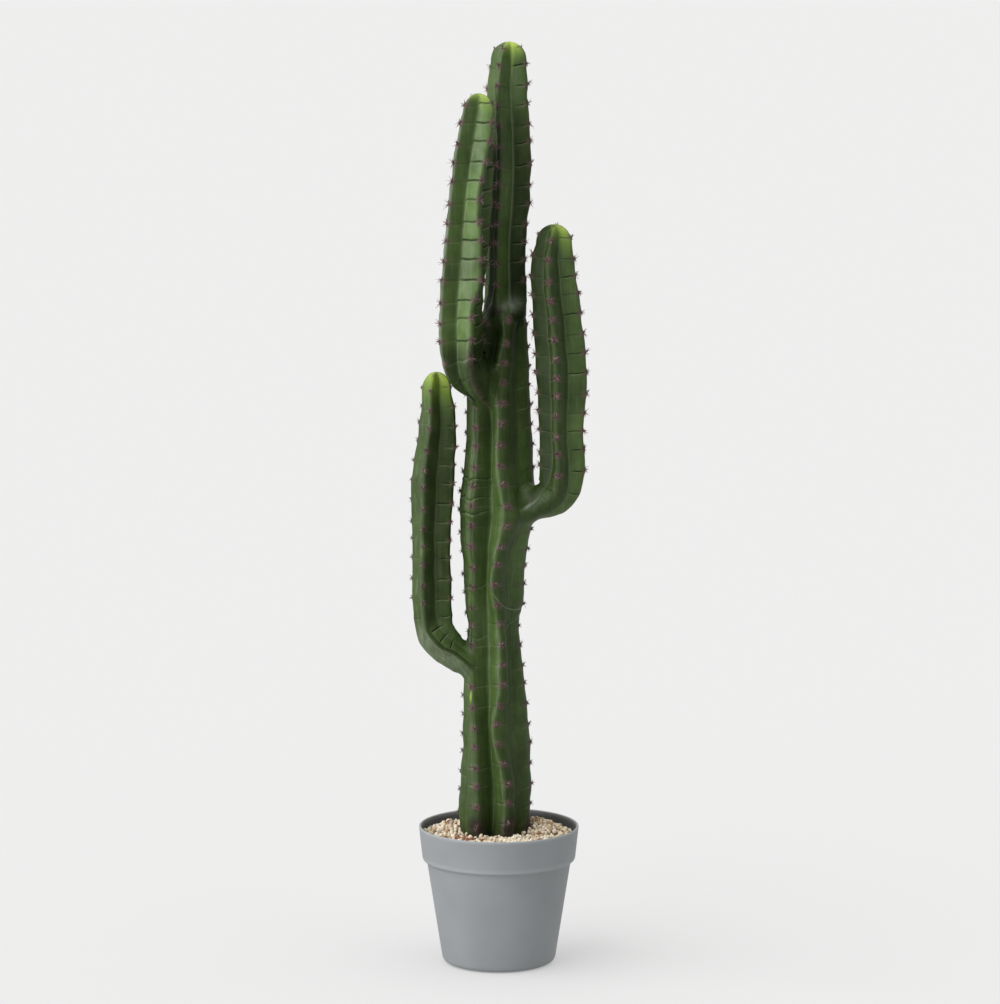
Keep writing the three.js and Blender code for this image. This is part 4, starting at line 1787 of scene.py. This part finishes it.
@dataclass
class Gravel:
    """The gravel: a dark bed that fills the pot under two loose layers of rounded grains, as painted shade
    in the gaps between them.

    Each heap is a bell as (x, y, height, width), and a dip has a negative height. A layer is its number of
    grains and the height of their middles over the bed. A patch is (tint, x, y, width, share of grains).
    """

    pot: CollarPot
    trunk_map: SkinMap
    seed: int = 21
    edge_height: float = 0.1625
    mound: float = 0.006
    heaps: tuple[tuple[float, float, float, float], ...] = (
        (0.049, 0.018, 0.013, 0.028),
        (-0.059, 0.010, 0.012, 0.027),
        (-0.018, -0.052, -0.003, 0.018),
    )
    front_rise: float = 0.007
    hummock: float = 0.0018
    grain: Span = (0.0022, 0.0037)
    layers: tuple[tuple[int, float], ...] = ((850, 0.0010), (620, 0.0040))
    patches: tuple[tuple[GravelTint, float, float, float, float], ...] = (
        (GravelTint.RUST, -0.046, -0.050, 0.017, 0.65),
        (GravelTint.TAN, 0.050, 0.034, 0.026, 0.85),
    )
    settle_steps: int = 60
    grain_rings: tuple[float, ...] = (45.0, 90.0, 135.0)
    grain_columns: int = 8
    # The bed's dark colour is painted shade seen in the gaps between the grains.
    dust_and_shade: StoneFinish = StoneFinish(
        "gravel_dust", (0.26, 0.19, 0.125), (0.16, 0.11, 0.075), roughness=0.95, shine=0.1,
    )

    def bed_height(self, place: Array) -> Array:
        """Height of the bed: a low mound, heaps by the trunk, a dip before it and a rise to the front.

        Args:
            place: points as x and y.

        Returns:
            The heights: a parabola for the mound, a bell for each heap, a smooth step for the rise and a
            sine times a cosine for the small unevenness.
        """
        share = np.linalg.norm(place, axis=-1) / self.inner_radius()
        mound = self.mound * (1 - np.minimum(share, 1.0) ** 2)
        away = [np.hypot(place[..., 0] - x, place[..., 1] - y) for x, y, _, _ in self.heaps]
        heap = sum(heap[2] * bell(reach, heap[3]) for heap, reach in zip(self.heaps, away))
        rise = self.front_rise * smooth_step(0.02, 0.09, -place[..., 1])
        uneven = self.hummock * np.sin(210.0 * place[..., 0]) * np.cos(190.0 * place[..., 1] + 0.6)
        return self.edge_height + mound + heap + rise + uneven

    def inner_radius(self) -> float:
        """Radius of the pot's inside where the gravel's edge meets it."""
        return self.pot.collar_foot_radius - self.pot.wall + 0.002

    def build(self) -> None:
        """Makes the bed and the grains, each tint joined into one piece."""
        rng = np.random.default_rng(self.seed)
        self.build_bed()
        layers = [self.scatter(count, lift, rng) for count, lift in self.layers]
        place = np.concatenate([layer[0] for layer in layers])
        radius = np.concatenate([layer[1] for layer in layers])
        shapes = self.grains(place, radius, rng)
        tints = self.deal(place, rng)
        for index, tint in enumerate(GravelTint):
            finish = tint.value[0]
            piece = self.joined(f"{finish.name}_grains", shapes[tints == index])
            settle(piece, finish.material())

    def build_bed(self) -> None:
        """Makes the bed's skin: out along its foot, up the wall and in over the top, at the bed's height."""
        rings, columns, foot = 40, 128, 0.150
        edge = self.inner_radius()
        side = np.array([[0.004, foot], [edge, foot]])
        top = np.stack([np.linspace(edge, 0.002, rings), np.zeros(rings)], axis=-1)
        points = turned(np.concatenate([side, top]), columns)
        points[2:, :, 2] = self.bed_height(points[2:, :, :2])
        middle = np.array([0.0, 0.0, self.edge_height + self.mound])
        piece = Surface(points, np.array([0.0, 0.0, foot]), middle).build("gravel_bed")
        settle(piece, self.dust_and_shade.material(), ("gravel",))

    def scatter(self, count: int, lift: float, rng: Random) -> tuple[Array, Array]:
        """One layer of grains, spread until they barely touch.

        Args:
            count: grains in the layer.
            lift: height of their middles over the bed.
            rng: seeded source.

        Returns:
            Places and radii. Grains start at random and push each other apart by half of each overlap, and
            the wall and the trunk push them back.
        """
        radius = rng.uniform(*self.grain, count)
        turn = rng.uniform(0, 2 * np.pi, count)
        out = self.inner_radius() * np.sqrt(rng.uniform(0.12, 1.0, count))
        place = np.stack([out * np.sin(turn), -out * np.cos(turn)], axis=-1)
        touch = 0.92 * (radius[:, None] + radius[None])
        np.fill_diagonal(touch, 0.0)
        for _ in range(self.settle_steps):
            apart = place[:, None] - place[None]
            distance = np.linalg.norm(apart, axis=-1) + 1e-9
            overlap = np.clip(touch - distance, 0.0, None)
            place += (0.5 * (overlap / distance)[..., None] * apart).sum(axis=1)
            place = self.keep_inside(place, radius)
        height = self.bed_height(place) + lift + rng.uniform(-0.0012, 0.0018, count)
        return np.concatenate([place, height[:, None]], axis=1), radius

    def keep_inside(self, place: Array, radius: Array) -> Array:
        """Moves grains out of the trunk and in from the wall along the way from their axes.

        Args:
            place: middles of the grains as x and y.
            radius: their sizes.

        Returns:
            The middles after the move.
        """
        level = np.concatenate([place, np.full((len(place), 1), self.edge_height + self.mound)], axis=1)
        clear = self.trunk_map.clearance(level) - 0.7 * radius
        axis = self.trunk_map.axis[0, :2]
        place = place - np.minimum(clear, 0.0)[:, None] * unit(place - axis)
        limit = self.inner_radius() + 0.0005 - 0.9 * radius
        distance = np.linalg.norm(place, axis=1)
        return place * np.minimum(1.0, limit / distance)[:, None]

    def grains(self, place: Array, radius: Array, rng: Random) -> Array:
        """Grain shapes: lumpy ellipsoids, each turned its own way.

        Args:
            place: middles of the grains.
            radius: their sizes.
            rng: seeded source.

        Returns:
            Points as (grain, point, xyz): a small globe whose radius varies as three sines of its direction.
        """
        rings = np.radians(self.grain_rings)
        columns = 2 * np.pi * np.arange(self.grain_columns) / self.grain_columns
        globe = np.stack([
            np.sin(rings)[:, None] * np.cos(columns),
            np.sin(rings)[:, None] * np.sin(columns),
            np.broadcast_to(np.cos(rings)[:, None], (len(rings), len(columns))),
        ], axis=-1).reshape(-1, 3)
        globe = np.concatenate([globe, [[0.0, 0.0, 1.0], [0.0, 0.0, -1.0]]])
        count = len(place)
        waves = rng.normal(0.0, 2.0, (count, 3, 3))
        phases = rng.uniform(0, 2 * np.pi, (count, 1, 3))
        lumps = 1.0 + 0.11 * np.sin(np.einsum("vk,nwk->nvw", globe, waves) + phases).sum(axis=2)
        stretch = rng.uniform(0.72, 1.18, (count, 1, 3))
        shape = globe * lumps[..., None] * stretch * radius[:, None, None]
        quaternion = unit(rng.normal(size=(count, 4)))
        return np.einsum("nij,nvj->nvi", self.rotations(quaternion), shape) + place[:, None]

    @staticmethod
    def rotations(quaternion: Array) -> Array:
        """Turns quaternions into matrices.

        Args:
            quaternion: unit quaternions as (w, x, y, z).

        Returns:
            One rotation matrix each.
        """
        w, x, y, z = quaternion.T
        rows = [
            [1 - 2 * (y * y + z * z), 2 * (x * y - z * w), 2 * (x * z + y * w)],
            [2 * (x * y + z * w), 1 - 2 * (x * x + z * z), 2 * (y * z - x * w)],
            [2 * (x * z - y * w), 2 * (y * z + x * w), 1 - 2 * (x * x + y * y)],
        ]
        return np.moveaxis(np.array(rows), 2, 0)

    def deal(self, place: Array, rng: Random) -> Array:
        """Deals a tint to each grain, with rust in one patch by the trunk and tan in one on a heap.

        Args:
            place: middles of the grains.
            rng: seeded source.

        Returns:
            The index of each grain's tint.
        """
        names = list(GravelTint)
        tints = rng.choice(len(names), size=len(place), p=[tint.value[1] for tint in names])
        for tint, x, y, width, share in self.patches:
            near = bell(np.linalg.norm(place[:, :2] - np.array([x, y]), axis=1), width)
            tints = np.where(rng.uniform(size=len(place)) < share * near, names.index(tint), tints)
        return tints

    def joined(self, name: str, shapes: Array) -> Piece:
        """Joins grains into one mesh.

        Args:
            name: name of the piece.
            shapes: points as (grain, point, xyz), ring by ring, then both poles.

        Returns:
            The piece.
        """
        rings, columns = len(self.grain_rings), self.grain_columns
        index = np.arange(rings * columns).reshape(rings, columns)
        right = np.roll(index, -1, axis=1)
        quads = ring_quads(index)[:, ::-1]
        top = np.stack([index[0], right[0], np.full(columns, index.size)], axis=-1)
        foot = np.stack([right[-1], index[-1], np.full(columns, index.size + 1)], axis=-1)
        start = (shapes.shape[1] * np.arange(len(shapes)))[:, None, None]
        triangles = np.concatenate([top, foot])
        groups = [(quads + start).reshape(-1, 4), (triangles + start).reshape(-1, 3)]
        return mesh_object(name, shapes.reshape(-1, 3), groups)


@dataclass
class Studio:
    """Plain pale floor, soft light from the left and above, and the camera at the photograph's angle.

    Bearings are degrees from the front towards +X. The world's light grows from its front strength to its
    back one as the +Y share of the way runs from minus light_turn to light_turn.
    """

    floor_size: float = 400.0
    floor_colour: Colour = (0.50, 0.50, 0.497)
    floor_glow: float = 0.32
    glow_colour: Colour = (1.0, 1.0, 0.995)
    floor_gap: float = 0.0004
    light_turn: float = 0.7
    front_light: float = 0.12
    back_light: float = 0.75
    backdrop: Colour = (0.84, 0.84, 0.84)
    box_bearing: float = -48.0
    box_distance: float = 2.4
    box_size: Span = (1.7, 2.2)
    box_height: float = 1.0
    box_radiance: float = 3.0
    camera_place: tuple[float, float, float] = (0.0015, -5.0, 1.2983)
    camera_pitch: float = 7.864
    lens: float = 139.78
    sensor: float = 36.0

    def build(self) -> None:
        """Makes the floor, the world, the lamps and the camera."""
        pieces = [piece for piece in bpy.context.scene.objects if piece.type == "MESH"]
        floor = self.build_floor()
        self.build_world()
        self.lamp("key_lamp", bearing=-62.0, elevation=40.0, strength=1.35, spread=70.0)
        self.lamp("top_lamp", bearing=-30.0, elevation=80.0, strength=1.2, spread=100.0)
        fill = self.lamp("fill_lamp", bearing=75.0, elevation=25.0, strength=0.55, spread=80.0)
        low = [piece for piece in pieces if piece.name.startswith(("collar", "gravel"))]
        self.light_only(fill, [floor] + low)
        self.light_only(self.soft_box(), pieces)
        self.build_camera()

    def build_floor(self) -> Piece:
        """Lays a large level sheet just under the pot.

        Returns:
            The sheet.
        """
        square = np.array([[-1.0, -1.0, 0.0], [1.0, -1.0, 0.0], [1.0, 1.0, 0.0], [-1.0, 1.0, 0.0]])
        corners = self.floor_size / 2 * square - np.array([0.0, 0.0, self.floor_gap])
        floor = mesh_object("studio_floor", corners, (np.array([[0, 1, 2, 3]]),))
        board = NodeBoard("studio_floor_matt")
        board.dress({
            "Base Color": self.floor_colour,
            "Roughness": 1.0,
            "Specular IOR Level": 0.0,
            "Emission Color": self.glow_colour,
            "Emission Strength": self.floor_glow,
        })
        floor.data.materials.append(board.material)
        floor.visible_glossy = False
        return floor

    def build_world(self) -> None:
        """Even light, dim from the front and bright from behind, and a plain backdrop for the camera."""
        world = bpy.data.worlds.new("studio_world")
        bpy.context.scene.world = world
        world.use_nodes = True
        tree = world.node_tree
        tree.nodes.clear()
        place = add_node(tree, "TexCoord").outputs["Generated"]
        ramp = add_node(tree, "MapRange", {
            "Value": add_node(tree, "SeparateXYZ", {"Vector": place}).outputs["Y"],
            "From Min": -self.light_turn,
            "From Max": self.light_turn,
            "To Min": self.front_light,
            "To Max": self.back_light,
        })
        light = add_node(tree, "Background", {"Strength": ramp.outputs["Result"]})
        backdrop = add_node(tree, "Background", {"Color": self.backdrop})
        mix = add_node(tree, "MixShader", {
            "Fac": add_node(tree, "LightPath").outputs["Is Camera Ray"],
            1: light.outputs["Background"],
            2: backdrop.outputs["Background"],
        })
        add_node(tree, "OutputWorld", {"Surface": mix.outputs["Shader"]})

    @staticmethod
    def light_only(lamp: Piece, pieces: Sequence[Piece]) -> None:
        """Keeps a lamp's light to the given pieces.

        Args:
            lamp: the lamp.
            pieces: what it lights.
        """
        lit = bpy.data.collections.new(f"{lamp.name}_lights")
        for piece in pieces:
            lit.objects.link(piece)
        lamp.light_linking.receiver_collection = lit

    def soft_box(self) -> Piece:
        """Makes a tall soft box on the left that faces the trunk.

        Returns:
            The lamp.
        """
        data = bpy.data.lights.new("soft_box", "AREA")
        data.shape = "RECTANGLE"
        data.size, data.size_y = self.box_size
        data.energy = self.box_radiance * math.pi * data.size * data.size_y
        box = placed("soft_box", data)
        angle = math.radians(self.box_bearing)
        away = self.box_distance
        box.location = (away * math.sin(angle), -away * math.cos(angle), self.box_height)
        box.rotation_euler = (math.radians(90.0), 0.0, angle)
        return box

    @staticmethod
    def lamp(name: str, bearing: float, elevation: float, strength: float, spread: float) -> Piece:
        """A broad distant lamp.

        Args:
            name: name of the lamp.
            bearing: where it stands, in degrees from the front towards +X.
            elevation: its height above the horizon in degrees.
            strength: light that it throws on a face square to it.
            spread: its width in degrees, which softens its shadows.

        Returns:
            The lamp.
        """
        data = bpy.data.lights.new(name, "SUN")
        data.energy = strength
        data.angle = math.radians(spread)
        lamp = placed(name, data)
        lamp.rotation_euler = (math.radians(90.0 - elevation), 0.0, math.radians(bearing))
        return lamp

    def build_camera(self) -> None:
        """A long lens at the photograph's height and pitch."""
        data = bpy.data.cameras.new("photograph_camera")
        data.lens = self.lens
        data.sensor_width = self.sensor
        data.clip_end = 2 * self.floor_size
        camera = placed("photograph_camera", data)
        camera.location = self.camera_place
        camera.rotation_euler = (math.radians(90.0 - self.camera_pitch), 0.0, 0.0)
        bpy.context.scene.camera = camera
        bpy.context.scene.view_settings.view_transform = "Standard"


def make_trunk() -> Trunk:
    """Sets out the trunk.

    Returns:
        The trunk, with six uneven ribs, of which the two at the front wander.
    """
    left_front = ((0.15, -33.0), (0.217, -31.0), (0.272, -37.0), (0.327, -45.0), (0.413, -54.0),
                  (0.450, -59.0), (0.519, -45.0), (0.613, -44.0), (0.710, -46.0), (0.86, -42.0))
    right_front = ((0.15, 18.0), (0.211, 22.0), (0.264, 12.0), (0.311, 0.0), (0.344, 7.0), (0.381, 15.0),
                   (0.440, 17.0), (0.508, 1.0), (0.570, 12.0), (0.601, 17.0), (0.642, 5.0), (0.690, 0.0),
                   (0.774, 9.0), (0.86, 13.0))
    ribs = (
        Rib(-84.0, 0.94),
        Rib(-44.0, 0.47, left_front),
        Rib(8.0, 0.72, right_front, (1.20, 1.10)),
        Rib(82.0, 0.70, edge=0.7),
        Rib(142.0, 0.72),
        Rib(203.0, 0.72),
    )
    # Flank tones: painted light on flanks that face the lamps, painted shade on those turned away or
    # shadowed.
    flanks = {
        (0, Side.BEFORE): Flank(tone=1.30),
        (0, Side.AFTER): Flank(tone=1.14),
        (1, Side.BEFORE): Flank(tone=1.30),
        (1, Side.AFTER): Flank(tone=1.02),
        (2, Side.BEFORE): Flank(tone=1.45),
        (2, Side.AFTER): Flank(tone=0.95),
        (3, Side.BEFORE): Flank(tone=1.25),
    }
    stations = (
        (-0.0055, 0.0, 0.150, 0.0440),
        (-0.0050, 0.0, 0.214, 0.0470),
        (-0.0030, 0.0, 0.286, 0.0440),
        (-0.0055, 0.0, 0.360, 0.0404),
        (-0.0068, 0.0, 0.413, 0.0358),
        (-0.0063, 0.0, 0.446, 0.0325),
        (-0.0063, 0.0, 0.470, 0.0362),
        (-0.0063, 0.0, 0.529, 0.0402),
        (-0.0024, 0.0, 0.604, 0.0480),
        (0.0008, 0.0, 0.675, 0.0434),
        (-0.0004, 0.0, 0.744, 0.0407),
        (0.0010, 0.0, 0.800, 0.0376),
        (0.0042, 0.0, 0.838, 0.0325),
    )
    return Trunk("trunk_skin", ("trunk",), stations, ribs, seed=3, flanks=flanks, tip_length=0.022,
                 crest_half_angle=4.0, flank_columns=11, row_step=0.0013, areole_pitch=0.0262, shy_side=0.7,
                 crease_strength=0.25, rounding=3, seam_strength=0.06, tuft=0.85,
                 fillet=0.008, fresh_strength=0.0, blush=(0.358, -49.0, 0.007, 2.0, 0.7),
                 wrinkles=((2, Side.BEFORE, 0.30, 0.20),))


def make_stem() -> TopStem:
    """Sets out the top stem.

    Returns:
        The stem, which stands on the trunk.
    """
    stations = (
        (0.0062, 0.0, 0.830, 0.0180),
        (0.0070, 0.0, 0.845, 0.0262),
        (0.0085, 0.0, 0.868, 0.0295),
        (0.0090, 0.0, 0.934, 0.0278),
        (0.0136, 0.0, 1.043, 0.0301),
        (0.0110, 0.0, 1.130, 0.0282),
        (0.0125, 0.0, 1.174, 0.0250),
    )
    # Flank tones: painted light on flanks that face the lamps, painted shade on those turned away or
    # shadowed.
    flanks = {
        (0, Side.AFTER): Flank(fresh=0.012),
        (1, Side.BEFORE): Flank(tone=0.95, fresh=0.012),
        (1, Side.AFTER): Flank(tone=1.10, fresh=0.034),
        (2, Side.BEFORE): Flank(tone=0.50, fresh=0.040),
    }
    ribs = even_ribs(-117.0, (0.5, 0.3, 0.9, 0.3))
    return TopStem("top_stem_skin", ("top_stem",), stations, ribs, seed=8, flanks=flanks,
                   crease_range=(0.5, 1.0), root_soft=(0.018, 0.052), root_valley=0.92, root_bare=0.050,
                   seam_strength=0.8, valley_fresh=0.030, smudge=0.7)


def make_arms() -> tuple[Limb, ...]:
    """Sets out the arms.

    Returns:
        The left, right and front arms, each bending up from inside the trunk.
    """
    left = (
        (-0.0240, 0.002, 0.387, 0.0140),
        (-0.0480, -0.010, 0.4025, 0.0183),
        (-0.0715, -0.015, 0.424, 0.0238),
        (-0.0836, -0.017, 0.448, 0.0258),
        (-0.0867, -0.018, 0.485, 0.0273),
        (-0.0870, -0.018, 0.560, 0.0264),
        (-0.0855, -0.018, 0.632, 0.0293),
        (-0.0785, -0.018, 0.710, 0.0252),
        (-0.0795, -0.018, 0.756, 0.0200),
    )
    right = (
        (0.0160, 0.000, 0.592, 0.0150),
        (0.0460, -0.020, 0.606, 0.0205),
        (0.0740, -0.028, 0.624, 0.0265),
        (0.0815, -0.031, 0.657, 0.0295),
        (0.0800, -0.031, 0.700, 0.0286),
        (0.0805, -0.031, 0.775, 0.0328),
        (0.0750, -0.031, 0.845, 0.0315),
        (0.0690, -0.031, 0.915, 0.0285),
        (0.0705, -0.031, 0.9435, 0.0235),
    )
    front = (
        (-0.0120, -0.010, 0.750, 0.0170),
        (-0.0250, -0.034, 0.767, 0.0240),
        (-0.0435, -0.046, 0.790, 0.0285),
        (-0.0488, -0.050, 0.830, 0.0316),
        (-0.0455, -0.050, 0.905, 0.0306),
        (-0.0350, -0.050, 1.026, 0.0293),
        (-0.0265, -0.050, 1.111, 0.0225),
    )
    # Flank tones of the arms: painted light on flanks that face the lamps, painted shade on those turned away
    # or shadowed, and painted sheen on the front arm's lit face.
    left_flanks = {
        (0, Side.AFTER): Flank(tone=1.00, fresh=0.058),
        (1, Side.BEFORE): Flank(tone=1.00, fresh=0.058),
        (1, Side.AFTER): Flank(tone=0.53, fresh=0.056),
        (2, Side.BEFORE): Flank(tone=0.60, fresh=0.070),
    }
    right_flanks = {
        (0, Side.AFTER): Flank(tone=0.48, fresh=0.014),
        (1, Side.BEFORE): Flank(tone=0.70, fresh=0.024),
        (1, Side.AFTER): Flank(tone=0.75, fresh=0.040),
        (2, Side.BEFORE): Flank(tone=1.30, fresh=0.058),
    }
    front_flanks = {
        (1, Side.AFTER): Flank(tone=1.00, fresh=0.025),
        (2, Side.BEFORE): Flank(tone=1.86, fresh=0.044, pale=0.08),
        (2, Side.AFTER): Flank(tone=0.95, fresh=0.014),
        (3, Side.BEFORE): Flank(tone=0.90, fresh=0.014),
    }
    turning_rib = ((0.70, -5.0), (0.767, 0.0), (0.790, 18.0), (0.830, 30.0), (0.868, 30.0), (0.900, 49.0),
                   (0.928, 47.0), (0.956, 39.0), (0.990, 28.0), (1.033, 30.0), (1.067, 42.0), (1.115, 62.0),
                   (1.14, 68.0))
    steady_groove = ((0.868, 0.0), (0.900, -9.0), (0.928, -8.5), (0.956, -5.5), (0.990, 0.0))
    hidden_rib = ((0.70, 123.0), (0.87, 123.0), (0.93, 112.0), (1.033, 112.0), (1.115, 140.0), (1.14, 145.0))
    front_ribs = (
        Rib(-147.0, STEM_VALLEY),
        Rib(-57.0, STEM_VALLEY, edge=0.05, drift=steady_groove),
        Rib(33.0, STEM_VALLEY, turning_rib, (1.14, 1.08)),
        Rib(123.0, STEM_VALLEY, hidden_rib),
    )
    left_twist = ((0.0, 60.0), (0.030, 54.0), (0.050, 42.0), (0.070, 20.0), (0.090, 3.0), (0.120, 0.0))
    left_wrinkles = (
        (0, Side.AFTER, 0.55, 0.30),
        (1, Side.BEFORE, 0.50, 0.40),
        (1, Side.BEFORE, 0.15, 0.35),
    )
    return (
        Limb("left_arm_skin", ("left_arm_elbow", "left_arm_upright"), left,
             even_ribs(-114.0, (0.2, 0.25, 0.9, 0.3)), seed=14,
             flanks=left_flanks, root_clear=0.028, root_soft=(0.020, 0.065), root_bare=0.115, tuft=0.72,
             bend_folds=(0.058, 0.073, 0.088), fillet=0.008, fresh_strength=0.64, pale_bend=0.42,
             smudge=0.6, crease_strength=0.75, blush=(0.552, -45.0, 0.012, 22.0, 0.16),
             # bend_light: painted light on the left elbow's inner face.
             wrinkles=left_wrinkles, tip_length=0.023, bend_light=1.32, twist=left_twist),
        Limb("right_arm_skin", ("right_arm_elbow", "right_arm_upright"), right,
             even_ribs(-103.0, (0.9, 0.2, 0.8, 0.3)), seed=15,
             flanks=right_flanks, root_clear=0.036, root_soft=(0.052, 0.115), root_bare=0.085, tuft=1.15,
             # gleam: a painted highlight along the top of the right elbow.
             seam_strength=0.5, fresh_strength=0.74, gleam=(-50.0, 0.042, 0.011, 0.9),
             crease_ends=(0.8, 1.2)),
        Limb("front_arm_skin", ("front_arm_elbow", "front_arm_upright"), front, front_ribs, seed=16,
             flanks=front_flanks, tip_length=0.025, root_clear=0.022, root_soft=(0.038, 0.095),
             root_bare=0.075, tuft=1.25, fillet=0.011, crease_range=(0.35, 1.0), crease_ends=(0.95, 1.3),
             # highlit_crests: a painted highlight along the front arm's left crest.
             highlit_crests=(1,), fresh_strength=0.85,
             # root_shade: painted shade on the front arm's root, under its bend.
             root_shade=(0.082, 0.102, 0.52), smear=(2, 0.075, 0.100, 0.42), crease_width=1.5),
    )


def main() -> None:
    """Builds the plant, the pot, the gravel and the studio in order."""
    logging.basicConfig(level=logging.INFO, format="%(name)s: %(message)s")
    plant = Plant(make_trunk(), make_stem(), make_arms())
    plant.shape()
    plant.build(SkinFinish())
    Tufts(plant.anchors()).build()
    pot = CollarPot()
    pot.build(PotFinish())
    Gravel(pot, plant.trunk_map).build()
    Studio().build()


if __name__ == "__main__":
    main()
